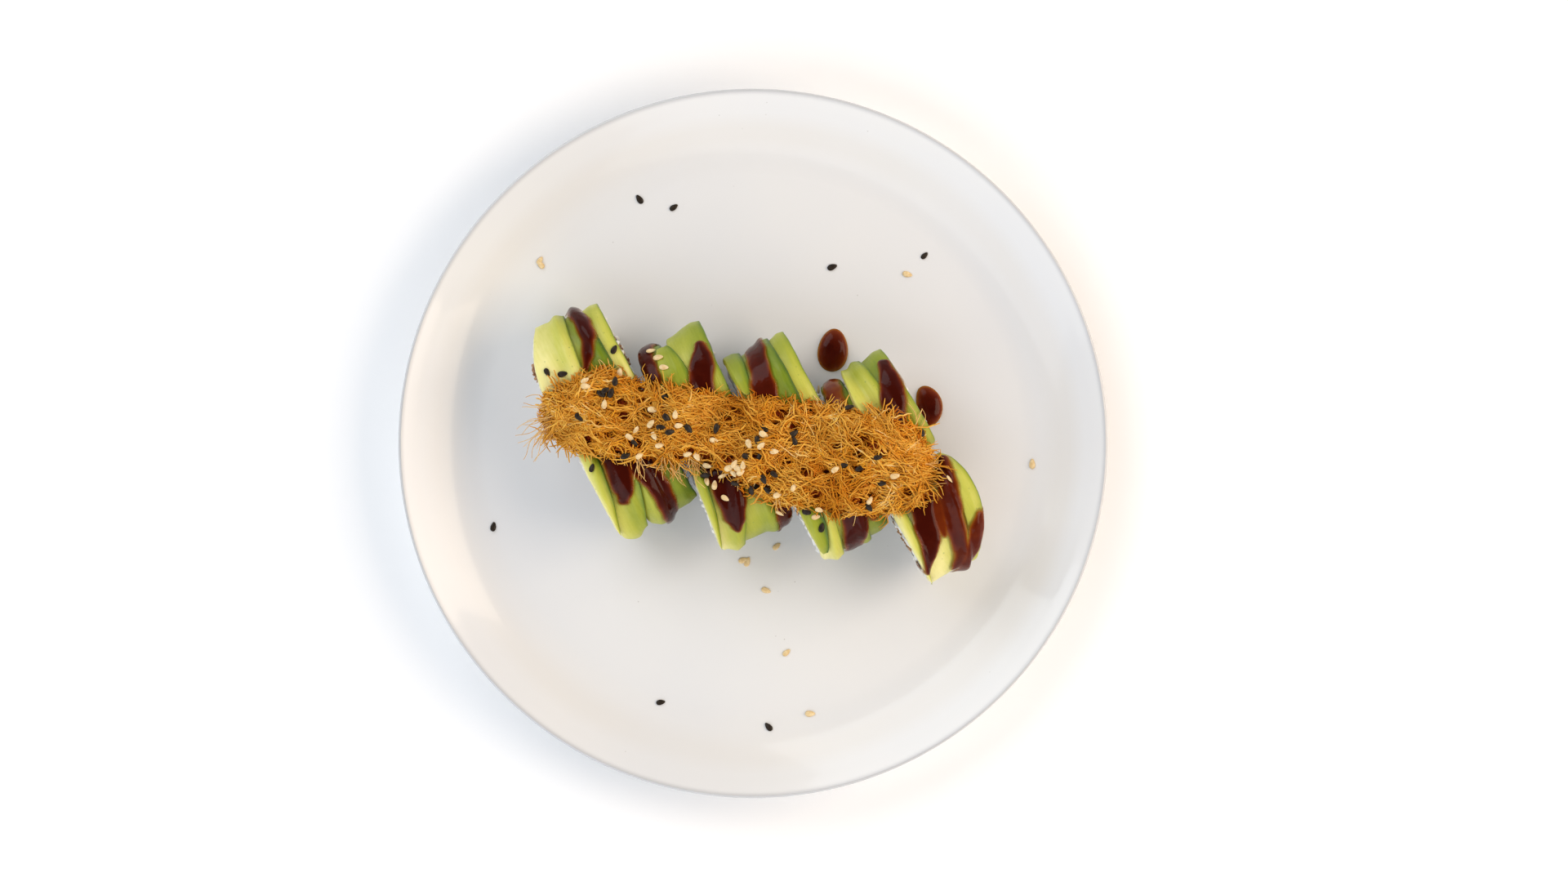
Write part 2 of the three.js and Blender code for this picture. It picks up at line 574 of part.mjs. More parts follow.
function heapSpot(t, side) { // t runs -1 to 1 along the heap, side -1 (front) to 1 (back)
  const x = lerp(heap.start, heap.end, (t + 1) / 2);
  const taper = max(0.3, (1 - abs(t) ** heap.blunt) ** 0.5);
  const uneven = 1 + 0.07 * sin(7.3 * t + 1) + 0.06 * sin(17 * t + 2 * side);
  const notch = side < 0 ? 1 - heap.notch * exp(-(((x - heap.notchAt) / heap.notchWidth) ** 2)) : 1;
  return new THREE.Vector2(x, across(heap.middle, t) + (heap.width / 2) * side * taper * uneven * notch);
}

// How far it rises over what carries it: less towards its sides and ends, and uneven.
const heapBulk = (t, side) => heap.height * (1 - 0.75 * abs(side) ** 2.4) * (1 - 0.5 * abs(t) ** 6)
  * (0.86 + 0.1 * sin(11 * t + 3 * side) + 0.1 * sin(23 * t - 5 * side));

function heapCore(floorAt) {
  const { rows, columns, clear, coreShare } = heap;
  const corner = (i, j, upper) => {
    const t = lerp(-1, 1, i / rows) * 0.98;
    const side = lerp(-1, 1, j / columns);
    const spot = heapSpot(t, side * coreShare);
    const rim = i === 0 || i === rows || j === 0 || j === columns;
    const bulk = rim ? heap.rim : heapBulk(t, side);
    return new THREE.Vector3(spot.x, spot.y, floorAt(spot.x, spot.y) + clear + (upper ? bulk : 0));
  };
  return slabGeometry(rows, columns, (i, j) => corner(i, j, true), (i, j) => corner(i, j, false));
}

function strandSolid(points) { // a shred of three sides
  const r = heap.strandWidth / 2;
  const shape = new THREE.Shape([0, 1, 2].map((k) => {
    const angle = (2 * PI * k) / 3;
    return new THREE.Vector2(r * cos(angle), r * sin(angle));
  }));
  const curve = new THREE.CatmullRomCurve3(points);
  return toSolid(new THREE.ExtrudeGeometry(shape, { steps: 4, extrudePath: curve, bevelEnabled: false }));
}

function heapStrand(floorAt, random, number) { // starts in the core and runs out over it
  const t = lerp(-0.99, 0.97, (number + 0.5) / heap.strands);
  const outward = number % 2 ? 1 : -1;
  const fromSide = outward * lerp(0, 0.75, random());
  const start = heapSpot(t, fromSide);
  const toEnd = abs(t) > 0.9 ? -sign(t) * outward * 55 : 0;
  const heading = radians(90 * outward + toEnd + lerp(-75, 75, random()));
  const length = lerp(...heap.strandLength, random());
  const bend = lerp(-0.9, 0.9, random());
  const startFloor = floorAt(start.x, start.y);
  const points = [];
  for (let k = 0; k <= 3; k++) {
    const part = k / 3;
    const way = heading + bend * (part - 0.5);
    const x = start.x + length * part * cos(way);
    const y = start.y + length * part * sin(way);
    const under = max(floorAt(x, y), startFloor - heap.droop * part) + heap.clear + heap.strandWidth;
    const rise = lerp(heapBulk(t, fromSide), 1.6, part); // the root is inside, and the middle arches
    points.push(new THREE.Vector3(x, y, under + rise * (k === 0 ? 0.6 : 1) + [0, 1, 1.6 * random(), 0][k]));
  }
  return strandSolid(points);
}

function heapSeed(floorAt, random, number) {
  const t = lerp(-0.9, 0.9, (number + 0.5) / heap.seeds);
  const side = lerp(-0.45, 0.45, random());
  const spot = heapSpot(t, side * heap.coreShare);
  const z = floorAt(spot.x, spot.y) + heap.clear + heapBulk(t, side) - heap.seedSunk;
  return seedSolid(new THREE.Vector3(spot.x, spot.y, z), 360 * random());
}

function flossGeometry(carriers) {
  const floorAt = surfaceMap(carriers);
  const random = randomFrom(7);
  let solid = toSolid(heapCore(floorAt));
  for (let k = 0; k < heap.strands; k++) solid = solid.add(heapStrand(floorAt, random, k));
  for (let k = 0; k < heap.seeds; k++) solid = solid.add(heapSeed(floorAt, random, k));
  return toGeometry(solid);
}

// ---------- the whole ----------

const platedRoll = new THREE.Group();
platedRoll.add(namedMesh('plate', plateGeometry(), materials.plate));
plateDrops.forEach((drop, number) => {
  platedRoll.add(namedMesh(`sauce_drop_${number + 1}`, dropGeometry(drop), materials.sauce));
});

const carriers = [];
pieces.forEach((piece, number) => {
  const group = pieceGroup(piece, number);
  group.updateMatrixWorld(true);
  platedRoll.add(group);
  carriers.push(...group.children);
});
platedRoll.add(namedMesh('floss', flossGeometry(carriers), materials.floss));

export default platedRoll;
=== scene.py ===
import json
import math
import bmesh
import bpy
import numpy as np
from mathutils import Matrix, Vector
from mathutils.bvhtree import BVHTree

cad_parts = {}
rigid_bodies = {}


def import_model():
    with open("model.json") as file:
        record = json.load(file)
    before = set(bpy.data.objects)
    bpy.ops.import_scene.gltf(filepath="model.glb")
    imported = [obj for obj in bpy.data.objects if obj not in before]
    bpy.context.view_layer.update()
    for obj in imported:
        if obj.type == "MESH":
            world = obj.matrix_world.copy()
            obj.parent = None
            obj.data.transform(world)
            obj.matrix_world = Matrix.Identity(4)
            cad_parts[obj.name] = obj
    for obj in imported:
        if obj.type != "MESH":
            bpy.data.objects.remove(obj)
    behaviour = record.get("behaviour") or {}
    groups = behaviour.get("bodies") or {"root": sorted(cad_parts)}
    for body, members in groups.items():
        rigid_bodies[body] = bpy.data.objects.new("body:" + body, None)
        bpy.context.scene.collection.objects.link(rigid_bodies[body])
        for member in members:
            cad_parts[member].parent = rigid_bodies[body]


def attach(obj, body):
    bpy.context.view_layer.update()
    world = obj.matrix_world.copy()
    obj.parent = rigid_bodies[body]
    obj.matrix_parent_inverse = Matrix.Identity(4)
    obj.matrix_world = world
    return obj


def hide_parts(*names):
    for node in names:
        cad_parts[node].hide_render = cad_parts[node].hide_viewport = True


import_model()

mm = 0.001  # lengths below are millimetres, and meshes are made in metres
for thing in list(bpy.data.objects):
    if thing.type in {"LIGHT", "CAMERA"} or thing.name == "Cube":
        bpy.data.objects.remove(thing)
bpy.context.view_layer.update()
print("scene: the frame is loaded")

# camera, light and floor

photo = {
    "width": 1920, "height": 1080,
    "mmPerPixel": 0.26437,  # at the height of the plate's rim
    "eye": (10.05, 0.79, 918.0), "rimDepth": 900.0, "sensor": 36.0,
}
stageLook = {
    "floorSize": 6.0, "floorColour": (0.97, 0.97, 0.97),
    "sky": [  # from the horizon to straight up
        (0.0, (0.74, 0.74, 0.76)), (0.5, (0.62, 0.62, 0.63)),
        (0.82, (0.20, 0.20, 0.21)), (1.0, (0.09, 0.09, 0.09)),
    ],
    "lights": {  # place, aims at, size, colour, power
        "window": ((-0.80, 0.95, 1.05), (0, 0, 0.02), (1.4, 1.1), (0.90, 0.95, 1.0), 12.5),
        "room": ((0.82, 0.05, 0.6), (0, 0, 0.02), (0.8, 0.7), (1.0, 0.82, 0.64), 7.4),
        "front": ((-0.6, -1.25, 1.1), (0, 0, 0.02), (2.6, 1.6), (0.87, 0.93, 1.0), 20.0),
    },
}


def addObject(name, data):
    thing = bpy.data.objects.new(name, data)
    bpy.context.scene.collection.objects.link(thing)
    return thing


def addCamera():
    data = bpy.data.cameras.new("photoCamera")
    data.sensor_width = photo["sensor"]
    data.lens = photo["sensor"] * photo["rimDepth"] / (photo["width"] * photo["mmPerPixel"])
    data.clip_end = 20
    camera = addObject("photoCamera", data)
    camera.location = Vector(photo["eye"]) * mm
    bpy.context.scene.camera = camera


def addLights():
    world = bpy.data.worlds.new("studio")
    world.use_nodes = True
    tree = world.node_tree
    up = separated(tree, addNode(tree, "ShaderNodeTexCoord").outputs["Generated"])["Z"]
    tree.links.new(rampOf(tree, up, stageLook["sky"]), tree.nodes["Background"].inputs["Color"])
    bpy.context.scene.world = world
    for name, (place, aim, size, colour, power) in stageLook["lights"].items():
        data = bpy.data.lights.new(name, "AREA")
        data.shape = "RECTANGLE"
        data.size, data.size_y = size
        data.color = colour
        data.energy = power
        light = addObject(name, data)
        light.location = place
        light.rotation_euler = (Vector(place) - Vector(aim)).to_track_quat("Z", "Y").to_euler()


# node and mesh helpers

def join(tree, value, socket):  # links a socket, and sets anything else
    if isinstance(value, bpy.types.NodeSocket):
        tree.links.new(value, socket)
    else:
        socket.default_value = value


def addNode(tree, kind, inputs=None, **settings):
    node = tree.nodes.new(kind)
    for name, value in settings.items():
        setattr(node, name, value)
    for name, value in (inputs or {}).items():
        join(tree, value, node.inputs[name])
    return node


def mathNode(tree, operation, first, second=0.0):
    return addNode(tree, "ShaderNodeMath", {0: first, 1: second}, operation=operation).outputs[0]


def plus(tree, first, second):
    return mathNode(tree, "ADD", first, second)


def minus(tree, first, second):
    return mathNode(tree, "SUBTRACT", first, second)


def times(tree, first, second):
    return mathNode(tree, "MULTIPLY", first, second)


def separated(tree, value):
    return addNode(tree, "ShaderNodeSeparateXYZ", {0: value}).outputs


def combined(tree, x, y, z):
    return addNode(tree, "ShaderNodeCombineXYZ", {"X": x, "Y": y, "Z": z}).outputs[0]


def newMaterial(name, **shader):
    material = bpy.data.materials.new(name)
    material.use_nodes = True
    tree = material.node_tree
    surface = tree.nodes["Principled BSDF"]
    for key, value in shader.items():
        surface.inputs[key.replace("_", " ")].default_value = value
    return material, tree, surface


def objectPlace(tree):
    return addNode(tree, "ShaderNodeTexCoord").outputs["Object"]


def noiseAt(tree, place, scale, detail=2.0, roughness=0.5):
    inputs = {"Vector": place, "Scale": scale, "Detail": detail, "Roughness": roughness}
    return addNode(tree, "ShaderNodeTexNoise", inputs).outputs["Fac"]


def rampOf(tree, value, stops):
    node = addNode(tree, "ShaderNodeValToRGB", {"Fac": value})
    ramp = node.color_ramp
    while len(ramp.elements) < len(stops):
        ramp.elements.new(1.0)
    for element, (at, colour) in zip(ramp.elements, stops):
        element.position = at
        element.color = (*colour, 1)
    return node.outputs["Color"]


def greyRamp(tree, value, stops):
    return rampOf(tree, value, [(at, (level, level, level)) for at, level in stops])


def greyNoise(tree, place, scale, stops, detail=2.0):
    return greyRamp(tree, noiseAt(tree, place, scale, detail), stops)


def mixColour(tree, share, first, second):
    node = addNode(tree, "ShaderNodeMix", data_type="RGBA")
    for index, value in ((0, share), (6, first), (7, second)):
        join(tree, (*value, 1) if isinstance(value, tuple) else value, node.inputs[index])
    return node.outputs[2]


def bumpOf(tree, height, strength, distance):
    inputs = {"Height": height, "Strength": strength, "Distance": distance}
    return addNode(tree, "ShaderNodeBump", inputs).outputs["Normal"]


def attributeOf(tree, name, output="Fac"):
    return addNode(tree, "ShaderNodeAttribute", attribute_name=name).outputs[output]


def painted(parts, colour, gloss, relief=None):  # joins a finish to its shader
    material, tree, surface = parts
    for key, value in (("Base Color", colour), ("Roughness", gloss), ("Normal", relief)):
        if value is not None:
            tree.links.new(value, surface.inputs[key])
    return material


def gridFaces(rows, columns, start=0, closed=False):
    faces = []
    for i in range(rows - 1 + int(closed)):
        for j in range(columns - 1):
            a = start + i * columns + j
            b = start + ((i + 1) % rows) * columns + j
            faces.append((a, b, b + 1, a + 1))
    return faces


def newObject(name, points, faces, material, attributes=None, edges=(), weld=0.0):
    mesh = bpy.data.meshes.new(name)
    mesh.from_pydata((np.asarray(points) * mm).tolist(), list(edges), faces)
    for key, values in (attributes or {}).items():
        values = np.asarray(values, float)
        kind = "FLOAT_VECTOR" if values.ndim == 2 else "FLOAT"
        layer = mesh.attributes.new(key, kind, "POINT")
        layer.data.foreach_set("vector" if values.ndim == 2 else "value", values.ravel())
    if weld:
        work = bmesh.new()
        work.from_mesh(mesh)
        bmesh.ops.remove_doubles(work, verts=work.verts, dist=weld * mm)
        bmesh.ops.dissolve_degenerate(work, edges=work.edges, dist=weld * mm / 2)
        bmesh.ops.recalc_face_normals(work, faces=work.faces)
        work.to_mesh(mesh)
        work.free()
    if material:
        mesh.materials.append(material)
    mesh.shade_smooth()
    return addObject(name, mesh)


def keepPiece(thing, nodes=()):
    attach(thing, "root")
    if nodes:
        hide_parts(*nodes)
    return thing


def newTree(name, inputs):
    tree = bpy.data.node_groups.new(name, "GeometryNodeTree")
    tree.interface.new_socket("Geometry", in_out="INPUT", socket_type="NodeSocketGeometry")
    for key, kind in inputs:
        tree.interface.new_socket(key, in_out="INPUT", socket_type="NodeSocket" + kind)
    tree.interface.new_socket("Geometry", in_out="OUTPUT", socket_type="NodeSocketGeometry")
    return tree, addNode(tree, "NodeGroupInput").outputs


def endTree(tree, entry, geometry):
    real = addNode(tree, "GeometryNodeRealizeInstances", {0: geometry})
    shaded = addNode(tree, "GeometryNodeSetShadeSmooth", {0: real.outputs[0], 2: True})
    inputs = {"Geometry": shaded.outputs[0], "Material": entry["Material"]}
    addNode(tree, "NodeGroupOutput", {0: addNode(tree, "GeometryNodeSetMaterial", inputs).outputs[0]})
    return tree


def grow(thing, tree, values):  # runs the tree on the object and keeps the plain mesh
    modifier = thing.modifiers.new("grow", "NODES")
    modifier.node_group = tree
    names = {item.name: item.identifier for item in tree.interface.items_tree if item.in_out == "INPUT"}
    for key, value in values.items():
        modifier[names[key]] = value
    graph = bpy.context.evaluated_depsgraph_get()
    grown = bpy.data.meshes.new_from_object(thing.evaluated_get(graph), depsgraph=graph)
    thing.modifiers.clear()
    thing.data = grown
    grown.name = thing.name
    return thing


def randomValue(tree, low, high, seed):
    inputs = {2: low, 3: high, "Seed": seed}
    return addNode(tree, "FunctionNodeRandomValue", inputs, data_type="FLOAT").outputs[1]


def namedValue(tree, name, kind="FLOAT"):
    return addNode(tree, "GeometryNodeInputNamedAttribute", {"Name": name}, data_type=kind).outputs[0]


def position(tree):
    return addNode(tree, "GeometryNodeInputPosition").outputs[0]


def asRotation(tree, euler):
    return addNode(tree, "FunctionNodeEulerToRotation", {"Euler": euler}).outputs[0]


def transformed(tree, geometry, **inputs):
    return addNode(tree, "GeometryNodeTransform", {"Geometry": geometry, **inputs}).outputs[0]


def ballOf(tree, segments, rings):
    inputs = {"Segments": segments, "Rings": rings, "Radius": 0.5}
    return addNode(tree, "GeometryNodeMeshUVSphere", inputs).outputs[0]


def triangleCount(thing):
    thing.data.calc_loop_triangles()
    return len(thing.data.loop_triangles)


# the section of a piece of roll
# The section is a squared oval. theta runs from the back (0) over the top to the front (pi),
# and a height is measured out from the rice.

gap = 0.35
plateFloor = 6.0
roll = {"centre": 13.2, "below": 13.2, "above": 15.0, "power": 2.3, "lines": 14}
core = {"halfWidth": 8.6, "below": 6.6, "above": 7.4, "nori": 0.6}
sliceForm = {
    "thick": 1.7, "edge": 0.85, "bevel": 0.8, "lean": 3.6, "ramp": 4.2, "settle": 0.8, "round": 0.28,
    "endSlope": 5, "tip": 0.3, "tipLines": 1.5, "ragged": 0.22, "uneven": 0.14, "rows": 64, "columns": 26,
}


def lerp(a, b, t):
    return a + (b - a) * t


def smooth(t):
    c = np.clip(t, 0, 1)
    return c * c * (3 - 2 * c)


def swell(value):
    return np.sign(value) * np.abs(value) ** (2 / roll["power"])


def across(ends, s):  # a value given at the back, top and front
    back, top, front = ends
    return top + (back - front) / 2 * s + ((back + front) / 2 - top) * s * s


def cutFaces(piece, s, inset):  # how far along its left and right face are, moved in by the inset
    return across(piece["left"], s) + inset, across(piece["right"], s) - inset


def fullTurn(rows):
    return np.linspace(0, 2 * math.pi, rows, endpoint=False)[:, None]


def lineAngle(line):
    return 2 * math.pi * line / roll["lines"]


def sideShare(theta):
    return swell(np.cos(theta))


def thetaAt(piece, y):  # past the widest place it runs on down the side
    reach = piece["halfWidth"] + 1
    share = np.clip(y / reach, -1, 1)
    beyond = np.maximum(np.abs(y) - reach, 0) / 13
    return np.arccos(np.sign(share) * np.abs(share) ** (roll["power"] / 2)) - np.sign(y) * beyond


def ovalPoints(piece, along, theta, half, above, below):
    y = half * swell(np.cos(theta)) + piece.get("shear", 0) * along
    z = roll["centre"] + np.where(np.sin(theta) > 0, above, below) * swell(np.sin(theta))
    return np.stack(np.broadcast_arrays(along, y, z), -1)


def rollPoints(piece, along, theta, height):
    under = roll["below"] + np.minimum(height, 0)
    return ovalPoints(piece, along, theta, piece["halfWidth"] + height, roll["above"] + height, under)


def placedAt(spot, x, y):
    turn = math.radians(spot["turn"])
    return (spot["x"] + x * math.cos(turn) - y * math.sin(turn),
            spot["y"] + x * math.sin(turn) + y * math.cos(turn))


def toPlate(piece, points):
    x, y, z = (points[..., k] for k in range(3))
    return np.stack([*placedAt(piece, x, y), z + plateFloor + gap], -1)


def wobble(first, second, seed):  # a gentle uneven value between -1 and 1
    a, b, c = np.sin(np.array([1.3, 2.1, 3.7]) * (seed + 1)) * 3
    return (np.sin(first * 1.1 + second * 0.4 + a) + np.sin(first * 0.5 - second * 1.3 + b)
            + 0.6 * np.sin(first * 2.3 + second * 2.1 + c)) / 2.6


# The slices come lowest first. Each gives its left edge and its right edge at the back, top and
# front, and its tones, from pale yellow (0) to deep green (1), at the back left, back right,
# front left and front right. What is its own comes last: the lines of the section where it
# starts and ends, its thickness, the edge that its tip leans to, and how far its back corner or
# its front end juts out. A run of sauce is a path of (along, across, width), a height and a
# depth of colour.

rowLines = {"back": (-1, 7), "front": (0, 8)}

pieces = {
    "back_1": {
        "x": -54.9, "y": 24, "turn": 28, "halfWidth": 15.4, "shear": -0.13, "left": (-8.6, -14.1, -14.1),
        "right": (14, 14, 13.6), "filling": (1.6, 1),
        "slices": [
            ((6.6, 9, 11.4), (14.4, 14.7, 14.2), (0.3, 0.35, 0.05, 0.15), {"corner": 2}),
            ((1.2, -1, -1.6), (8.6, 10.7, 10.2), (0.5, 0.85, 0.6, 0.9)),
            ((-8, -14, -13.8), (3.2, 0.8, -3), (0.15, 0.5, -0.35, -0.08), {"thick": 2.4}),
        ],
        "sauces": [
            ([(5.7, 16.2, 4.6), (7.7, 11.4, 5.6), (7.1, 6.9, 5), (4.5, 2.6, 3.6), (1.9, -0.7, 2)], 1.4, 1),
        ],
    },
    "front_1": {
        "x": -37.7, "y": -8.8, "turn": 28, "halfWidth": 15.4, "left": (-14.1, -14.1, -14.1),
        "right": (12.7, 13.2, 13.2), "filling": (0.8, 0.5),
        "slices": [
            ((2.6, 1.2, 0), (13.3, 13.9, 14), (0.6, 0.8, 0.5, 0.75)),
            ((-3.2, -4.3, -4), (4.4, 5.2, 4.4), (0.4, 0.7, 0.35, 0.68)),
            ((-8.6, -11.5, -14.4), (-1.6, 0.4, -4.6), (0.3, 0.7, 0.2, 0.68), {"toward": 0.45, "jut": 2.2}),
            ((-13.8, -13.9, -14.3), (-7.6, -8.7, -13.6), (0.2, 0.72, 0.1, 0.75), {"lines": (0, 5.9)}),
        ],
        "sauces": [
            ([(-3, 6.4, 8.6), (-4.1, 1.3, 8.6), (-5.5, -2.8, 6.8), (-7.2, -5.6, 3.7)], 1.5, 1),
            ([(1.6, 5, 7), (3.2, 0.4, 8.4), (4.8, -5, 6.8), (4.9, -9.9, 6.4), (4, -14.6, 6),
              (3, -18.2, 4)], 1.3, 1),
        ],
    },
    "back_2": {
        "x": -20.4, "y": 18.4, "turn": 24, "halfWidth": 15, "left": (-11.2, -11.2, -10.9),
        "right": (11.2, 11.2, 11.2), "filling": (0.6, 0.7),
        "slices": [
            ((-1.5, -0.6, 1.2), (11.8, 11.8, 11.8), (0.5, 0.6, 0.1, 0.6), {"corner": 2.2}),
            ((-10.9, -10.9, -10.6), (-3, -3, -4.6), (0.7, 0.75, 0.65, 0.75)),
            ((-6.6, -6.6, -5), (0.4, 2.2, 0.4), (0.5, 0.75, 0.5, 0.8), {"lines": (1.4, 7)}),
        ],
        "sauces": [
            ([(8.6, 9.4, 3.6), (7.7, 6.2, 6.6), (6.3, 2.9, 8), (4.6, -0.3, 7.6), (3.6, -4.6, 6)], 1.6, 1),
            ([(-5, 17.6, 3.4), (-8, 15.3, 5.6), (-9.4, 11.3, 6), (-9.2, 6, 5.6)], 1.1, 0.95),
        ],
    },
    "front_2": {
        "x": -5, "y": -14.1, "turn": 24, "halfWidth": 15, "left": (-11.4, -12.2, -13),
        "right": (12, 12.8, 13), "filling": (0.5, 0.6),
        "slices": [
            ((9.3, 7.5, 6.5), (11.7, 12.5, 12.7), (0.6, 0.8, 0.65, 0.8)),
            ((3, 0.5, -7.5), (8.3, 9, 7.6), (0.3, 0.7, 0.38, 0.72)),
            ((-7.4, -9.9, -13.2), (1.6, 2.4, -4.8), (0.3, 0.62, 0.05, 0.66), {"toward": 0.25}),
            # The front of this slice is toned a darker green, a painted shade where it lies shadowed.
            ((-11.1, -11.9, -13.2), (-8.2, -8.1, -12.4), (0.3, 0.75, 0.35, 0.8), {"lines": (0, 6.1)}),
        ],
        "sauces": [
            ([(-2.8, 7.2, 8.4), (-2.6, 1, 10), (-3.1, -3.3, 9), (-4.3, -7.1, 6.6),
              (-5.2, -9.8, 3.6)], 1.5, 1),
            ([(11, -8, 5), (10.2, -13.6, 5.6), (8.2, -17.4, 4)], 1.0, 0.85),
        ],
    },
    "back_3": {
        "x": 8.1, "y": 15.1, "turn": 28, "halfWidth": 15.3, "left": (-11, -11, -11), "right": (11, 11, 11),
        "filling": (0.6, 0.6),
        "slices": [
            ((4.6, 5.2, 6.4), (11.6, 11.6, 11.6), (0.5, 0.45, 0.1, 0.3), {"corner": 1.6}),
            ((-10.6, -10.6, -10.6), (6, 6.7, 5.4), (0.6, 0.75, 0.6, 0.8)),
            ((-10.7, -10.7, -10.6), (-4, -5.6, -7), (0.65, 0.8, 0.1, 0.5), {"lines": (-1, 3)}),
        ],
        "sauces": [
            ([(1.3, 18, 5.6), (0.1, 13.3, 7.2), (-1.2, 9.1, 6.6), (-2.4, 5, 8), (-3.8, 0, 8)], 1.4, 0.85),
        ],
    },
    "front_3": {
        "x": 25.6, "y": -16.9, "turn": 28, "halfWidth": 15.3, "left": (-11.7, -12.4, -12.4),
        "right": (12.2, 12.4, 12.4), "filling": (0.6, 0.8),
        "slices": [
            ((7.3, 5.5, 3.5), (11.9, 12.1, 12.1), (0.5, 0.75, 0.55, 0.8)),
            ((-0.2, -3, -7.5), (6.3, 7, 5), (0.4, 0.6, 0.35, 0.6)),
            ((-4.6, -8.5, -12.8), (-1.2, -1.5, -5), (0.15, 0.5, 0.0, 0.3), {"toward": 0.1}),
            ((-11.4, -12.1, -12.8), (-5.6, -4.8, -9.6), (0.5, 0.8, 0.6, 0.85), {"lines": (0, 5.6)}),
        ],
        "sauces": [
            ([(3.8, -5.8, 8), (2, -10.6, 8.4), (-0.6, -13.9, 6.4), (-2.4, -17.2, 4)], 1.5, 0.95),
            ([(8.2, -8, 3), (8.6, -11.4, 2.6)], 0.8, 0.45),
        ],
    },
    "back_4": {
        "x": 40.2, "y": 8.5, "turn": 30.7, "halfWidth": 15.7, "left": (-12.1, -12.1, -12.1),
        "right": (12.2, 12.2, 12.2), "filling": (0.6, 0.6),
        "slices": [
            ((3, 4, 5.4), (12.5, 12.5, 12.5), (0.72, 0.5, 0.6, 0.4), {"corner": 1.8}),
            ((-11.8, -11.8, -11.8), (-4, -4.3, -6), (0.8, 0.75, 0.8, 0.8)),
            ((-3.5, -5.8, -5), (4.5, 6, 4.2), (0.42, 0.72, -0.38, 0.12), {"thick": 2.4}),
        ],
        "sauces": [
            ([(10.2, 12.8, 4), (9.3, 8.4, 6.4), (8, 4.5, 8), (6.2, 1.2, 8.4), (4.2, -3, 7)], 1.6, 1),
            ([(-6.8, 17, 4.4), (-8.4, 13.6, 6), (-9.2, 10.2, 6), (-9.4, 6.2, 5)], 0.9, 0.42),
            ([(-10.9, 12.4, 2.6), (-11.4, 8.6, 3.2), (-11.6, 4.5, 3.4)], 1.0, 1),
        ],
    },
    "front_4": {
        "x": 59.4, "y": -23.4, "turn": 30.7, "halfWidth": 15.7, "left": (-12.6, -13.2, -13.2),
        "right": (12.2, 14.4, 5.6), "filling": (1, 0.7),
        "slices": [
            ((8.2, 7.2, 0.2), (12.6, 14.9, 6), (0.2, 0.5, 0.18, 0.55), {"thick": 2.4}),
            ((-7.2, -11.5, -13.2), (7.4, 7.8, 0.8), (0.2, 0.55, -0.05, 0.3), {"toward": 0.2}),
            ((-12.3, -12.9, -13.2), (-8.4, -8.6, -12.6), (0.05, 0.45, 0.0, 0.55), {"lines": (0, 6.6)}),
        ],
        "sauces": [
            ([(-1.9, 6.4, 8.4), (-4.8, 0.3, 8.2), (-6.2, -4.3, 7.4), (-9, -8, 5), (-11.6, -10.6, 3)], 1.6, 1),
            ([(1.6, 6, 4), (0.2, 2, 5), (-0.8, -2, 4), (-1.6, -5, 2)], 0.8, 0.55),
            ([(10.2, 13.6, 4.4), (8.4, 9.3, 6.2), (6.3, 4.5, 7), (4.2, -0.3, 7), (2.2, -6.3, 5.8),
              (0.4, -11.6, 4.4), (-3.4, -15.4, 3.2)], 1.2, 0.72),
            ([(11.4, -5.4, 3.6), (8.4, -8.7, 5.8), (4.6, -12, 6.6), (0, -14.8, 5), (-4, -17, 2.8)], 1.1, 0.7),
        ],
    },
}
for pieceName, piece in pieces.items():
    lines = rowLines[pieceName.split("_")[0]]
    piece["slices"] = [{"left": left, "right": right, "tones": tones, "lines": lines, **dict(*own)}
                       for left, right, tones, *own in piece["slices"]]
    piece["sauces"] = [{"path": path, "height": height, "depth": depth}
                       for path, height, depth in piece["sauces"]]

faceDrips = [  # sauce that has run down a cut face: a path of (across, height, width)
    {"on": "back_2", "side": 1, "path": [(9.5, 24, 5), (8.6, 19, 4), (8.4, 15.5, 3)]},
    {"on": "front_4", "side": -1, "path": [(-10, 24, 4), (-10.6, 19.4, 4.6), (-11, 16.6, 3)]},
    {"on": "front_4", "side": 1, "path": [(-6.4, 26, 4.4), (-6.6, 22, 4.2), (-6.8, 19.6, 3)]},
]


def sliceEdges(one, theta, seed=None):
    s = sideShare(theta)
    left, right = across(one["left"], s), across(one["right"], s)
    start, end = (lineAngle(line) for line in one["lines"])
    toEnd = np.clip(np.minimum(theta - start, end - theta) / lineAngle(sliceForm["tipLines"]), 0, 1)
    share = lerp(sliceForm["tip"], 1, np.sqrt(1 - (1 - toEnd) ** 2))
    middle = lerp(left, right, one.get("toward", 0.5))
    left, right = lerp(middle, left, share), lerp(middle, right, share)
    if seed is not None:
        left = left + sliceForm["ragged"] * (1 + wobble(theta * 5, 0 * theta, seed))
        right = right - sliceForm["ragged"] * (1 + wobble(theta * 5, 0 * theta + 9, seed))
    return left, right


def sliceBase(piece, order, along, theta):  # on the rice, or over the slices below
    height = np.full(np.broadcast(along, theta).shape, gap)
    ownLeft, ownRight = sliceEdges(piece["slices"][order], theta)
    for k in range(order):
        below = piece["slices"][k]
        left, right = sliceEdges(below, theta)
        shared = np.minimum(right, ownRight) - np.maximum(left, ownLeft)
        inside = np.minimum(along - left, right - along)
        lift = smooth((inside + sliceForm["ramp"]) / sliceForm["ramp"])
        lift = lift * np.clip(shared / sliceForm["settle"] + 1, 0, 1)
        inRange = (theta > lineAngle(below["lines"][0] - 0.7)) & (theta < lineAngle(below["lines"][1] + 0.7))
        top = sliceBase(piece, k, np.clip(along, left, right), theta) + below.get("thick", sliceForm["thick"])
        height = np.where(inRange, np.maximum(height, lerp(gap, top + gap, lift)), height)
    return height


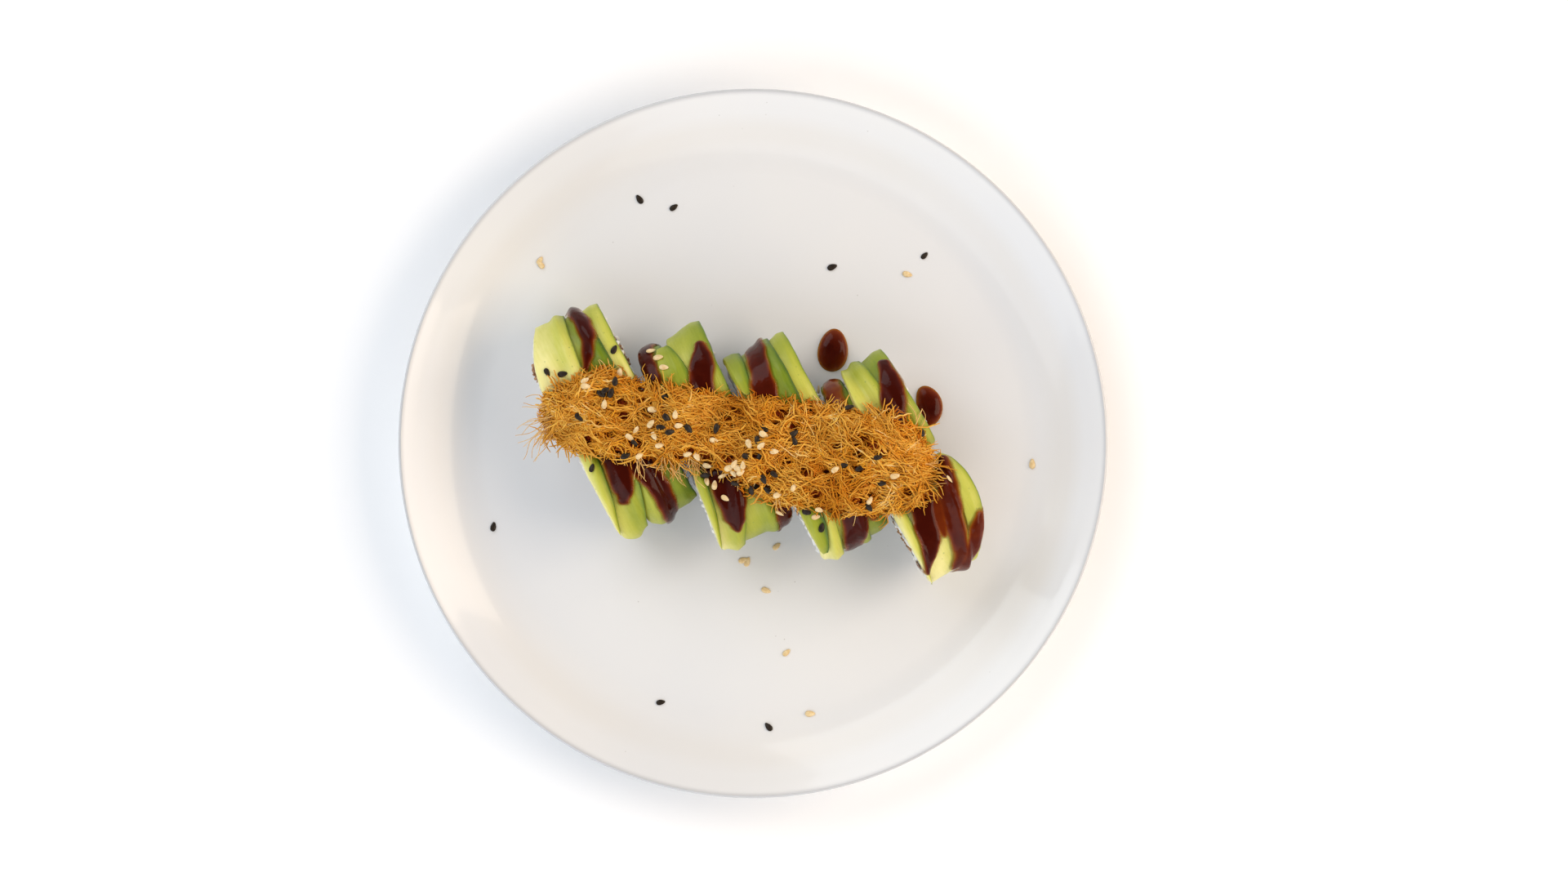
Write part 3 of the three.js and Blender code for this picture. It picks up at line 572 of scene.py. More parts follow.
def sliceThickness(one, along, theta, left, right):
    full = one.get("thick", sliceForm["thick"])
    fromLeft, fromRight = along - left, right - along
    start, end = (lineAngle(line) for line in one["lines"])
    fromEnd = np.minimum(theta - start, end - theta) * roll["above"]
    width = right - left
    rise = smooth(fromLeft / np.minimum(sliceForm["bevel"], width * 0.3))
    rise = rise * smooth(fromRight / np.minimum(sliceForm["lean"], width * 0.45))
    rise = rise * smooth(fromEnd / sliceForm["endSlope"])
    rim = np.clip(np.minimum(np.minimum(fromLeft, fromRight), fromEnd) / sliceForm["round"], 0, 1)
    return lerp(sliceForm["edge"], full, rise) * np.sqrt(1 - (1 - rim) ** 2)


def coverHeight(piece, along, theta):  # the top of whatever slice lies highest there
    height = np.zeros(np.broadcast(along, theta).shape)
    for order, one in enumerate(piece["slices"]):
        left, right = sliceEdges(one, theta, order)
        start, end = (lineAngle(line) for line in one["lines"])
        inside = (along > left) & (along < right) & (theta > start) & (theta < end)
        top = sliceBase(piece, order, along, theta) + sliceThickness(one, along, theta, left, right)
        height = np.where(inside, np.maximum(height, top), height)
    return height


# finishes

avocadoLook = {
    "tones": [  # pale yellow by the stone to deep green under the skin
        (0.0, (0.83, 0.76, 0.31)), (0.25, (0.58, 0.56, 0.092)), (0.5, (0.36, 0.385, 0.030)),
        (0.7, (0.22, 0.275, 0.010)), (0.85, (0.12, 0.185, 0.005)), (1.0, (0.038, 0.078, 0.004)),
    ],
    "mottle": 0.15, "freckle": 0.5, "freckleColour": (0.16, 0.24, 0.05), "rim": 0.75,
    "rimColour": (0.07, 0.15, 0.02), "roughness": [(0.3, 0.34), (0.7, 0.5)],
}
sauceLook = {
    "depths": [  # thin at the rim to thick in the middle
        (0.0, (0.30, 0.16, 0.012)), (0.22, (0.27, 0.080, 0.006)), (0.45, (0.15, 0.022, 0.003)),
        (0.75, (0.080, 0.008, 0.0020)), (1.0, (0.042, 0.0034, 0.0012)),
    ],
    "cover": [(0.0, 0.0), (0.16, 0.45), (0.38, 0.88), (0.6, 1.0)], "uneven": 0.4,
    "roughness": [(0.35, 0.07), (0.7, 0.15)],
}
hull = {  # both colours of sesame
    "shader": {"IOR": 1.45, "Specular_IOR_Level": 0.22}, "gloss": (1500, [(0.3, 0.3), (0.7, 0.5)]),
    "relief": (2600, 2, 0.4, 0.0001),
}
plainLooks = {  # a noise's scale, detail and roughness, then its stops, or its strength and depth
    "riceGrain": {
        "shader": {"IOR": 1.45, "Subsurface_Weight": 0.35, "Subsurface_Radius": (1.0, 0.9, 0.75),
                   "Subsurface_Scale": 0.0018, "Coat_Weight": 0.2, "Coat_Roughness": 0.15},
        "colour": (190, 3, [(0.3, (0.66, 0.63, 0.55)), (0.62, (0.83, 0.82, 0.78))]),
        "gloss": (500, [(0.3, 0.28), (0.7, 0.5)]), "relief": (1500, 2, 0.2, 0.0001),
    },
    "noriSheet": {
        "shader": {"IOR": 1.4}, "gloss": (900, [(0.3, 0.35), (0.7, 0.65)]), "relief": (1600, 3, 0.7, 0.0003),
        "colour": (700, 4, [(0.3, (0.006, 0.012, 0.010)), (0.7, (0.022, 0.040, 0.030))]),
    },
    "friedCrumb": {
        "shader": {"IOR": 1.42}, "gloss": (600, [(0.3, 0.45), (0.7, 0.75)]), "relief": (1300, 3, 0.5, 0.0003),
        "colour": (420, 4, 0.6, [(0.3, (0.16, 0.065, 0.026)), (0.5, (0.36, 0.19, 0.085)),
                                 (0.7, (0.55, 0.34, 0.19))]),
    },
    "blackHull": {"colour": (900, 2, [(0.3, (0.012, 0.007, 0.004)), (0.7, (0.032, 0.022, 0.014))]), **hull},
    "whiteHull": {"colour": (900, 2, [(0.3, (0.66, 0.45, 0.20)), (0.7, (0.84, 0.66, 0.38))]), **hull},
}
flossLook = {
    "uneven": 0.9, "shredTurns": (-0.6, -0.1, 0.7), "shredShape": (0.22, 1.0, 0.6),
    "felt": [(0.5, 0.0), (0.75, 1.0)], "feltShade": 0.8, "roughness": [(0.3, 0.5), (0.7, 0.8)],
}


def plainFinish(name):
    look = plainLooks[name]
    parts = newMaterial(name, **look["shader"])
    tree = parts[1]
    place = objectPlace(tree)
    *noise, stops = look["colour"]
    colour = rampOf(tree, noiseAt(tree, place, *noise), stops)
    *noise, strength, depth = look["relief"]
    relief = bumpOf(tree, noiseAt(tree, place, *noise), strength, depth)
    return painted(parts, colour, greyNoise(tree, place, *look["gloss"]), relief)


def avocadoFlesh():
    look = avocadoLook
    parts = newMaterial(
        "avocadoFlesh", IOR=1.42, Specular_IOR_Level=0.4, Subsurface_Weight=0.12,
        Subsurface_Radius=(0.9, 1.0, 0.3), Subsurface_Scale=0.0016, Coat_Weight=0.06, Coat_Roughness=0.25,
    )
    tree = parts[1]
    place = objectPlace(tree)
    cloud = noiseAt(tree, place, 160, 3)
    fibre = noiseAt(tree, attributeOf(tree, "flow", "Vector"), 1.0, 3, 0.6)
    uneven = plus(tree, times(tree, cloud, look["mottle"]), times(tree, fibre, look["mottle"]))
    shifted = plus(tree, attributeOf(tree, "tone"), minus(tree, uneven, look["mottle"]))
    flesh = rampOf(tree, shifted, look["tones"])
    cells = addNode(tree, "ShaderNodeTexVoronoi", {"Vector": place, "Scale": 640.0}).outputs
    freckle = greyRamp(tree, cells["Distance"], [(0.0, 1.0), (0.12, 1.0), (0.22, 0.0)])
    some = greyRamp(tree, cells["Color"], [(0.5, 0.0), (0.56, look["freckle"])])  # not every cell has one
    patches = greyNoise(tree, place, 95, [(0.46, 0.0), (0.62, 1.0)], 1)
    spots = times(tree, times(tree, freckle, some), patches)
    freckled = mixColour(tree, spots, flesh, look["freckleColour"])
    rim = times(tree, attributeOf(tree, "skin"), look["rim"])
    relief = plus(tree, noiseAt(tree, place, 1100, 3), times(tree, fibre, 1.5))
    return painted(parts, mixColour(tree, rim, freckled, look["rimColour"]),
                   greyNoise(tree, place, 240, look["roughness"], 3), bumpOf(tree, relief, 0.35, 0.00022))


def sauceGlaze():
    look = sauceLook
    parts = newMaterial("sauceGlaze", IOR=1.42, Specular_IOR_Level=0.15)
    tree = parts[1]
    place = objectPlace(tree)
    uneven = times(tree, minus(tree, noiseAt(tree, place, 210, 2), 0.5), look["uneven"])
    depth = plus(tree, attributeOf(tree, "depth"), uneven)
    cover = plus(tree, attributeOf(tree, "cover"), times(tree, uneven, 0.3))
    tree.links.new(greyRamp(tree, cover, look["cover"]), parts[2].inputs["Alpha"])
    return painted(parts, rampOf(tree, depth, look["depths"]), greyNoise(tree, place, 320, look["roughness"]),
                   bumpOf(tree, noiseAt(tree, place, 340, 3), 0.4, 0.0004))


def flossFinish(name, dark, light, pale=None, matted=False):
    look = flossLook
    parts = newMaterial(
        name, IOR=1.42, Specular_IOR_Level=0.15, Subsurface_Weight=0.1,
        Subsurface_Radius=(1.0, 0.5, 0.15), Subsurface_Scale=0.0006,
    )
    tree = parts[1]
    place = objectPlace(tree)
    uneven = times(tree, minus(tree, noiseAt(tree, place, 240, 3), 0.5), look["uneven"])
    tone = plus(tree, attributeOf(tree, "shade"), uneven)
    relief = None
    if matted:  # fine shreds that cross each other
        shreds = []
        for turn in look["shredTurns"]:
            inputs = {"Vector": place, "Rotation": (0.0, 0.0, turn), "Scale": look["shredShape"]}
            shreds.append(noiseAt(tree, addNode(tree, "ShaderNodeMapping", inputs).outputs[0], 2600, 2))
        matting = mathNode(tree, "MAXIMUM", mathNode(tree, "MAXIMUM", *shreds[:2]), shreds[2])
        felt = greyRamp(tree, matting, look["felt"])
        tone = plus(tree, tone, times(tree, minus(tree, felt, 0.5), look["feltShade"]))
        relief = bumpOf(tree, felt, 0.8, 0.0004)
    colour = rampOf(tree, tone, [(0.1, dark), (0.8, light), (1.0, pale or light)])
    return painted(parts, colour, greyNoise(tree, place, 800, look["roughness"]), relief)


# the plate

plateForm = {
    "radius": 115.0, "rimHeight": 17.5, "flatRadius": 88.0, "floorHeight": 6.0, "curve": 1.6, "wall": 3.8,
    "footInner": 57.0, "footOuter": 63.0, "footDepth": 2.2, "footSlope": 2.0, "footRound": 0.8, "lip": 1.4,
    "segments": 224, "bandInner": 96.5, "bandOuter": 105.5,
}
glazeLook = {
    "clay": [(0.35, (0.745, 0.745, 0.75)), (0.65, (0.785, 0.775, 0.76))], "warm": (0.70, 0.655, 0.59),
    "warmth": 0.55, "edge": (0.47, 0.47, 0.48), "speck": (0.42, 0.40, 0.37),
    "roughness": [(0.1, 0.18), (0.9, 0.27)],
}


def plateHeight(r):
    form = plateForm
    t = np.clip((r - form["flatRadius"]) / (form["radius"] - form["lip"] - form["flatRadius"]), 0, 1)
    return form["floorHeight"] + (form["rimHeight"] - form["floorHeight"]) * t ** form["curve"]


def plateProfile():  # radius and height, from the axis underneath round the rim to the axis on top
    form = plateForm
    footInner, footSlope, bend, lip = (form[key] for key in ("footInner", "footSlope", "footRound", "lip"))
    points = [(r, form["footDepth"]) for r in (0, 20, 40, 50, footInner - footSlope - 0.6)]
    points += [(footInner - footSlope, form["footDepth"] - 0.15)]
    for foot, side in ((footInner, -1), (form["footOuter"], 1)):
        turn = [(foot + side * bend * math.cos(a) - side * bend, bend - bend * math.sin(a))
                for a in (0.15, 0.7, 1.2, 1.57)]
        points += turn if side < 0 else turn[::-1]
    points += [(form["footOuter"] + footSlope, form["floorHeight"] - form["wall"])]
    inner = np.linspace(form["flatRadius"], form["radius"] - lip, 14)
    points += [(r + form["wall"] / 2, plateHeight(r) - form["wall"]) for r in inner[:-1]]
    edge, middle = form["radius"] - lip / 2, form["rimHeight"] - lip * 0.75
    for angle in np.linspace(-0.9, 2.2, 9):  # the round lip
        points.append((edge + lip / 2 * math.cos(angle), middle + lip * 0.75 * math.sin(angle)))
    points += [(r, plateHeight(r)) for r in inner[-2::-1]]
    points += [(r, form["floorHeight"]) for r in (70, 50, 30, 12, 0)]
    return np.array(points)


def glazedClay():
    look = glazeLook
    parts = newMaterial("glazedClay", IOR=1.5, Coat_Weight=0.35, Coat_Roughness=0.06)
    tree = parts[1]
    place = objectPlace(tree)
    inputs = {0: place, 1: (1.0, 1.0, 0.0)}
    flat = addNode(tree, "ShaderNodeVectorMath", inputs, operation="MULTIPLY").outputs[0]
    reach = addNode(tree, "ShaderNodeVectorMath", {0: flat}, operation="LENGTH").outputs["Value"]
    share = times(tree, reach, 1 / (plateForm["radius"] * mm))
    clay = rampOf(tree, noiseAt(tree, place, 9, 3), look["clay"])
    # A warm darker band round the rising slope near the rim: painted shade of the slope.
    inner, outer = (plateForm[key] / plateForm["radius"] for key in ("bandInner", "bandOuter"))
    band = greyRamp(tree, share, [(inner - 0.02, 0.0), (inner + 0.03, look["warmth"]),
                                  (outer - 0.02, look["warmth"]), (outer + 0.02, 0.0)])
    warm = mixColour(tree, times(tree, band, noiseAt(tree, place, 14, 2)), clay, look["warm"])
    edged = mixColour(tree, greyRamp(tree, share, [(0.983, 0.0), (0.993, 0.75)]), warm, look["edge"])
    cells = addNode(tree, "ShaderNodeTexVoronoi", {"Vector": place, "Scale": 210.0}).outputs
    dots = greyRamp(tree, cells["Distance"], [(0.0, 0.5), (0.035, 0.5), (0.06, 0.0)])
    seldom = greyNoise(tree, place, 60, [(0.6, 0.0), (0.68, 1.0)], 1)
    speckled = mixColour(tree, times(tree, dots, seldom), edged, look["speck"])
    return painted(parts, speckled, greyNoise(tree, place, 26, look["roughness"], 3),
                   bumpOf(tree, noiseAt(tree, place, 35, 2), 0.12, 0.0008))


def plateTree():  # spins a profile given as the points of a mesh
    inputs = [("Segments", "Int"), ("Rings", "Int"), ("Weld", "Float"), ("Material", "Material")]
    tree, entry = newTree("spunPlate", inputs)
    sizes = {"Size X": 1.0, "Size Y": 1.0, "Vertices X": entry["Rings"],
             "Vertices Y": plus(tree, entry["Segments"], 1.0)}
    grid = addNode(tree, "GeometryNodeMeshGrid", sizes)
    flat = separated(tree, position(tree))
    steps = minus(tree, entry["Rings"], 1.0)
    ring = mathNode(tree, "ROUND", times(tree, plus(tree, flat["X"], 0.5), steps))
    angle = times(tree, plus(tree, flat["Y"], 0.5), 2 * math.pi)
    sample = addNode(tree, "GeometryNodeSampleIndex", {"Geometry": entry["Geometry"], "Index": ring},
                     data_type="FLOAT_VECTOR", domain="POINT")
    tree.links.new(position(tree), sample.inputs["Value"])
    profile = separated(tree, sample.outputs[0])
    spun = combined(tree, times(tree, profile["X"], mathNode(tree, "COSINE", angle)),
                    times(tree, profile["X"], mathNode(tree, "SINE", angle)), profile["Z"])
    moved = addNode(tree, "GeometryNodeSetPosition", {"Geometry": grid.outputs[0], "Position": spun})
    inputs = {"Geometry": moved.outputs[0], "Distance": entry["Weld"]}
    return endTree(tree, entry, addNode(tree, "GeometryNodeMergeByDistance", inputs).outputs[0])


def faceOut(thing):  # turns every face of a closed piece outwards
    work = bmesh.new()
    work.from_mesh(thing.data)
    bmesh.ops.recalc_face_normals(work, faces=work.faces)
    if work.calc_volume(signed=True) < 0:
        bmesh.ops.reverse_faces(work, faces=work.faces)
    work.to_mesh(thing.data)
    work.free()


def makePlate():
    profile = plateProfile()
    points = np.stack([profile[:, 0], 0 * profile[:, 0], profile[:, 1]], -1)
    edges = [(i, i + 1) for i in range(len(points) - 1)]
    plate = newObject("plateGlazed", points, [], None, edges=edges)
    material = glazedClay()
    values = {"Segments": plateForm["segments"], "Rings": len(points), "Weld": 0.00002, "Material": material}
    grow(plate, plateTree(), values)
    faceOut(plate)
    return keepPiece(plate, ["plate"])


# avocado and sauce

def makeSlice(name, piece, order, material):
    one = piece["slices"][order]
    start, end = (lineAngle(line) for line in one["lines"])
    rows, columns = sliceForm["rows"], sliceForm["columns"]
    theta = np.linspace(start, end, rows)[:, None]
    share = np.linspace(0, 1, columns)[None, :]
    share = lerp(share, (1 - np.cos(math.pi * share)) / 2, 0.85)
    left, right = sliceEdges(one, theta, order)
    along = left + (right - left) * share
    thetas = np.broadcast_to(theta, along.shape)
    base = sliceBase(piece, order, along, thetas)
    thick = sliceThickness(one, along, thetas, left, right)
    seed = order + len(name) * 0.37
    uneven = sliceForm["uneven"] * wobble(along * 0.5, thetas * 4, seed) * thick / sliceForm["thick"]
    top = rollPoints(piece, along, thetas, base + thick + uneven - sliceForm["uneven"])
    bottom = rollPoints(piece, along, thetas, base + 0 * thick)
    corner = one.get("corner", 0) * smooth(share) * np.maximum(sideShare(thetas), 0) ** 4
    jut = one.get("jut", 0) * np.sin(math.pi * share) * np.maximum(-sideShare(thetas), 0) ** 4
    top[..., 1] += corner - jut
    bottom[..., 1] += 0.6 * (corner - jut)
    points = toPlate(piece, np.concatenate([top.reshape(-1, 3), bottom.reshape(-1, 3)]))
    count = rows * columns
    faces = gridFaces(rows, columns) + [face[::-1] for face in gridFaces(rows, columns, count)]
    rim = [i * columns for i in range(rows)] + [count - columns + j for j in range(1, columns)]
    rim += [i * columns + columns - 1 for i in range(rows - 2, -1, -1)]
    rim += [j for j in range(columns - 2, 0, -1)]
    for a, b in zip(rim, rim[1:] + rim[:1]):
        faces.append((a, b, b + count, a + count))
    backLeft, backRight, frontLeft, frontRight = one["tones"]
    v = (1 - sideShare(thetas)) / 2
    tone = lerp(lerp(backLeft, frontLeft, v), lerp(backRight, frontRight, v), share ** 1.5)
    tone = tone + 0.10 * wobble(along * 0.35, thetas * 2.2, seed + 4)
    tone = tone + 0.14 * smooth(1 - (right - along) / 1.6) - 0.22 * smooth(1 - (along - left) / 0.9)
    skin = smooth(1 - (right - along) / 0.55)
    flow = np.stack([along * 1.6 + 17 * order, thetas * roll["above"] * 0.16, 0 * along + order], -1)
    twice = lambda values: np.concatenate([values.ravel(), values.ravel()])
    attributes = {"tone": np.clip(twice(tone), 0, 1), "skin": twice(skin),
                  "flow": np.concatenate([flow.reshape(-1, 3)] * 2)}
    return newObject(name, points, faces, material, attributes, weld=0.02)


def makeAvocado(material):
    made = []
    for name, piece in pieces.items():
        for order in range(len(piece["slices"])):
            node = f"{name}_avocado_{order + 1}"
            one = makeSlice(f"slice_{node}", piece, order, material)
            made.append(keepPiece(one, [node]))
    return made


sauceForm = {
    "cell": 0.36, "round": 2.7, "foot": 0.55, "overhang": 1.0, "thin": 0.8, "soft": 2.4, "spread": 0.55,
    "ragged": 0.35, "bridge": 3, "sunk": 0.6,
}


def fieldOf(first, second, runs):  # how far inside a run each place is, and its height and depth
    inside = np.full(first.shape, -50.0)
    height, depth, total = (np.zeros(first.shape) for _ in range(3))
    for run in runs:
        path = run["path"]
        for (a0, b0, w0), (a1, b1, w1) in zip(path, path[1:]):
            way = (a1 - a0) ** 2 + (b1 - b0) ** 2
            t = np.clip(((first - a0) * (a1 - a0) + (second - b0) * (b1 - b0)) / way, 0, 1)
            reach = lerp(w0, w1, t) / 2 - np.hypot(first - lerp(a0, a1, t), second - lerp(b0, b1, t))
            weight = np.exp(2 * np.clip(reach, -12, 12))
            inside = np.maximum(inside, reach)
            height, depth = height + weight * run.get("height", 1.0), depth + weight * run.get("depth", 1.0)
            total = total + weight
    return inside, height / total, depth / total


def blurred(grid, times):
    for _ in range(times):
        padded = np.pad(grid, 1, mode="edge")
        grid = (padded[:-2, 1:-1] + padded[2:, 1:-1] + padded[1:-1, :-2] + padded[1:-1, 2:] + 2 * grid) / 6
    return grid


def domeSheet(inside, height):
    rise = sauceForm["thin"] * height * (1 - (1 - np.clip(inside / sauceForm["round"], 0, 1)) ** 2) ** 0.7
    return np.where(inside > 0, rise, 0.9 * inside)


def fullCells(corner):  # the cells of a grid that have all their corners
    return corner[:-1, :-1] & corner[1:, :-1] & corner[:-1, 1:] & corner[1:, 1:]


def gathered(jobs):  # each makes points, faces and values, given the number of points before its own
    points, faces, values, made = [], [], [], 0
    for make, *given in jobs:
        some, theirs, shares = make(*given, made)
        points.append(some)
        faces += theirs
        values.append(shares)
        made += len(some)
    return np.concatenate(points), faces, [np.concatenate(each) for each in zip(*values)]


def sheetParts(top, bottom, keep, shares, start):  # the kept cells of two like grids, closed at their edge
    rows, columns = keep.shape
    index = np.arange((rows + 1) * (columns + 1)).reshape(rows + 1, columns + 1)
    count = index.size
    faces = []
    padded = np.pad(keep, 1)
    for i, j in zip(*np.nonzero(keep)):
        a, b, c, d = index[i, j], index[i + 1, j], index[i + 1, j + 1], index[i, j + 1]
        faces.append((a, b, c, d))
        faces.append((d + count, c + count, b + count, a + count))
        for atEdge, p, q in ((not padded[i, j + 1], d, a), (not padded[i + 2, j + 1], b, c),
                             (not padded[i + 1, j], a, b), (not padded[i + 1, j + 2], c, d)):
            if atEdge:
                faces.append((q, p, p + count, q + count))
    used = np.unique(np.array(faces))
    lookup = np.zeros(2 * count, int)
    lookup[used] = np.arange(len(used)) + start
    points = np.concatenate([top.reshape(-1, 3), bottom.reshape(-1, 3)])[used]
    values = [np.concatenate([share.ravel(), share.ravel()])[used] for share in shares]
    return points, [tuple(lookup[list(face)]) for face in faces], values


def sauceOnPiece(piece, seed, start):
    cell = sauceForm["cell"]
    fine = np.linspace(-0.7, math.pi + 0.7, 400)
    section = rollPoints(piece, 0 * fine, fine, 2.5)
    arc = np.concatenate([[0], np.cumsum(np.linalg.norm(np.diff(section, axis=0), axis=1))])
    arcs = np.arange(0, arc[-1], cell)
    theta = np.interp(arcs, arc, fine)[:, None]
    along = np.arange(min(piece["left"]) - 1.4, max(piece["right"]) + 1.4, cell)[None, :]
    theta, along = np.broadcast_arrays(theta, along)
    distance = np.broadcast_to(arcs[:, None], along.shape)
    runs = []
    for run in piece["sauces"]:
        path = [(a, float(np.interp(thetaAt(piece, y), fine, arc)), w) for a, y, w in run["path"]]
        runs.append({**run, "path": path})
    inside, height, depth = fieldOf(along, distance, runs)
    inside = inside + sauceForm["spread"] + sauceForm["ragged"] * wobble(along * 0.75, distance * 0.6, seed)
    s = sideShare(theta)
    leftEdge, rightEdge = cutFaces(piece, s, gap)
    beyond = np.maximum(np.maximum(leftEdge - along, along - rightEdge), 0)
    cover = coverHeight(piece, np.clip(along, leftEdge + gap, rightEdge - gap), theta)
    cover = np.maximum(blurred(cover, sauceForm["bridge"]), cover)  # it bridges the steps between slices
    settled = lerp(cover, np.maximum(blurred(cover, 6), cover - 0.25), smooth(inside / 0.9))
    level = settled + domeSheet(inside, height) - 0.9 * beyond - 0.9 * beyond ** 2
    corner = (inside > -sauceForm["foot"]) & (beyond < sauceForm["overhang"]) & (cover > 0.2)
    top = toPlate(piece, rollPoints(piece, along, theta, level))
    bottom = toPlate(piece, rollPoints(piece, along, theta, np.minimum(level, settled) - sauceForm["sunk"]))
    cover = np.clip(inside / sauceForm["soft"], 0, 1)
    return sheetParts(top, bottom, fullCells(corner), [depth * smooth(cover * 1.15), cover], start)


def sauceOnFace(piece, drip, start):
    cell = sauceForm["cell"]
    y = np.arange(-piece["halfWidth"], piece["halfWidth"], cell)[None, :]
    z = np.arange(2, roll["centre"] + roll["above"] + 2, cell)[:, None]
    y, z = np.broadcast_arrays(y, z)
    inside = fieldOf(y, z, [drip])[0]
    side, shear = drip["side"], piece.get("shear", 0)
    face = across(piece["right" if side > 0 else "left"], np.clip(y / piece["halfWidth"], -1, 1))
    thick = domeSheet(inside, 0.9)
    top, bottom = (toPlate(piece, np.stack([x, y + shear * x, z], -1))
                   for x in (face + side * (thick - 0.1), face - side * 0.9))
    cover = np.clip(inside / sauceForm["soft"], 0, 1)
    keep = fullCells(inside > -sauceForm["foot"])
    return sheetParts(top, bottom, keep, [smooth(cover * 1.3), cover], start)


def makeSauceRuns(material):
    jobs = [(sauceOnPiece, piece, number) for number, piece in enumerate(pieces.values())]
    jobs += [(sauceOnFace, pieces[drip["on"]], drip) for drip in faceDrips]
    points, faces, (depth, cover) = gathered(jobs)
    attributes = {"depth": depth, "cover": cover}
    return keepPiece(newObject("sauce_runs", points, faces, material, attributes, weld=0.001))


plateDrops = [  # narrow makes an egg and bend a bean
    {"x": 26.1, "y": 30.6, "turn": 84, "length": 14.2, "width": 10, "height": 2.6, "narrow": 0.12, "bend": 0},
    {"x": 57.8, "y": 12.4, "turn": 100, "length": 13.5, "width": 8.6, "height": 2.4, "narrow": 0, "bend": 0.9},
]
dropForm = {"rings": 22, "sides": 72, "sunk": 0.02, "flat": 2.6, "full": 0.62, "depth": 0.95}


def makeDrops(material):
    rings, sides = dropForm["rings"], dropForm["sides"]
    ground = plateFloor - dropForm["sunk"]
    made = []
    for number, drop in enumerate(plateDrops):
        share = np.sin(np.linspace(0.02, math.pi / 2, rings))[::-1, None]
        angle = fullTurn(sides).T
        x = drop["length"] / 2 * np.cos(angle) * share
        y = drop["width"] / 2 * np.sin(angle) * share * (1 - drop["narrow"] * np.cos(angle) * share)
        y = y + drop["bend"] * (np.cos(angle) * share) ** 2
        z = drop["height"] * (1 - share ** dropForm["flat"]) ** dropForm["full"]
        z = z * (1 + 0.03 * wobble(x * 0.4, y * 0.6, number))
        points = np.stack([*placedAt(drop, x, y), z + ground], -1).reshape(-1, 3)
        top = points[-sides:].mean(0)
        bottom = np.array([*points[:sides].mean(0)[:2], ground])
        count = len(points)
        faces = []
        for k in range(sides):
            after = (k + 1) % sides
            faces += [(i * sides + k, i * sides + after, (i + 1) * sides + after, (i + 1) * sides + k)
                      for i in range(rings - 1)]
            faces += [(count - sides + k, count - sides + after, count), (after, k, count + 1)]
        depth = np.clip(z / drop["height"], 0, 1).ravel() ** 1.1 * dropForm["depth"]
        depth = np.append(depth, [dropForm["depth"], 0])
        attributes = {"depth": depth, "cover": 0 * depth + 1}
        name = f"drop_{number + 1}"
        one = newObject(name, np.vstack([points, top, bottom]), faces, material, attributes, weld=0.001)
        made.append(keepPiece(one, [f"sauce_{name}"]))
    return made


# rice, nori and filling

def nodesOf(part):
    return [f"{name}_{part}" for name in pieces]


riceForm = {
    "rows": 84, "outer": 13, "radial": 8, "sunk": 1.15, "faceSunk": 1.05, "length": 5.4, "width": 2.35,
    "spacing": 1.72, "crowd": 420000.0, "tilt": 0.38, "least": 0.82, "most": 1.08, "seed": 11,
}


def riceParts(piece, start):
    form = riceForm
    theta = fullTurn(form["rows"])
    s = sideShare(theta)
    inset = form["faceSunk"]
    inner = {key: core[key] + gap for key in ("halfWidth", "above", "below")}
    outer = {"halfWidth": piece["halfWidth"], "above": roll["above"], "below": roll["below"]}
    share = np.linspace(0, 1, form["outer"])[None, :]
    left, right = cutFaces(piece, s, inset)
    along = lerp(left, right, share)
    thetas = np.broadcast_to(theta, along.shape)
    shell = rollPoints(piece, along, thetas, 0 * along - form["sunk"])
    covered = np.ones(along.shape, bool)
    for step, turn in ((0, 0), (1.1, 0), (-1.1, 0), (0, 0.09), (0, -0.09)):
        wrapped = (thetas + turn + math.pi / 2) % (2 * math.pi) - math.pi / 2
        covered &= coverHeight(piece, np.clip(along + step, left + 0.3, right - 0.3), wrapped) > 0.5
    underneath = np.sin(thetas) < -0.93
    bare = [np.where(covered | underneath, 0.0, 1.0)]
    parts = [shell]
    for ends, side, order in ((piece["right"], -1, 1), (piece["left"], 1, -1)):
        radial = np.linspace(1, 0, form["radial"] + 1)[1:][None, ::order]
        size = {key: lerp(inner[key], outer[key] - form["sunk"], radial) for key in inner}
        flat = across(ends, s * lerp(0.6, 0.9, radial)) + side * inset + 0 * radial
        wide = np.broadcast_to(theta, flat.shape)
        parts.append(ovalPoints(piece, flat, wide, *size.values()))
        bare.append(np.where(radial + 0 * flat > 0.12, 1.0, 0.6))
    points = np.concatenate(parts, 1)
    columns = points.shape[1]
    closed = np.concatenate([points, points[:, :1]], 1)
    bared = np.concatenate(bare + [bare[0][:, :1]], 1)
    faces = gridFaces(form["rows"], columns + 1, start, closed=True)
    return toPlate(piece, closed.reshape(-1, 3)), faces, [bared.ravel()]


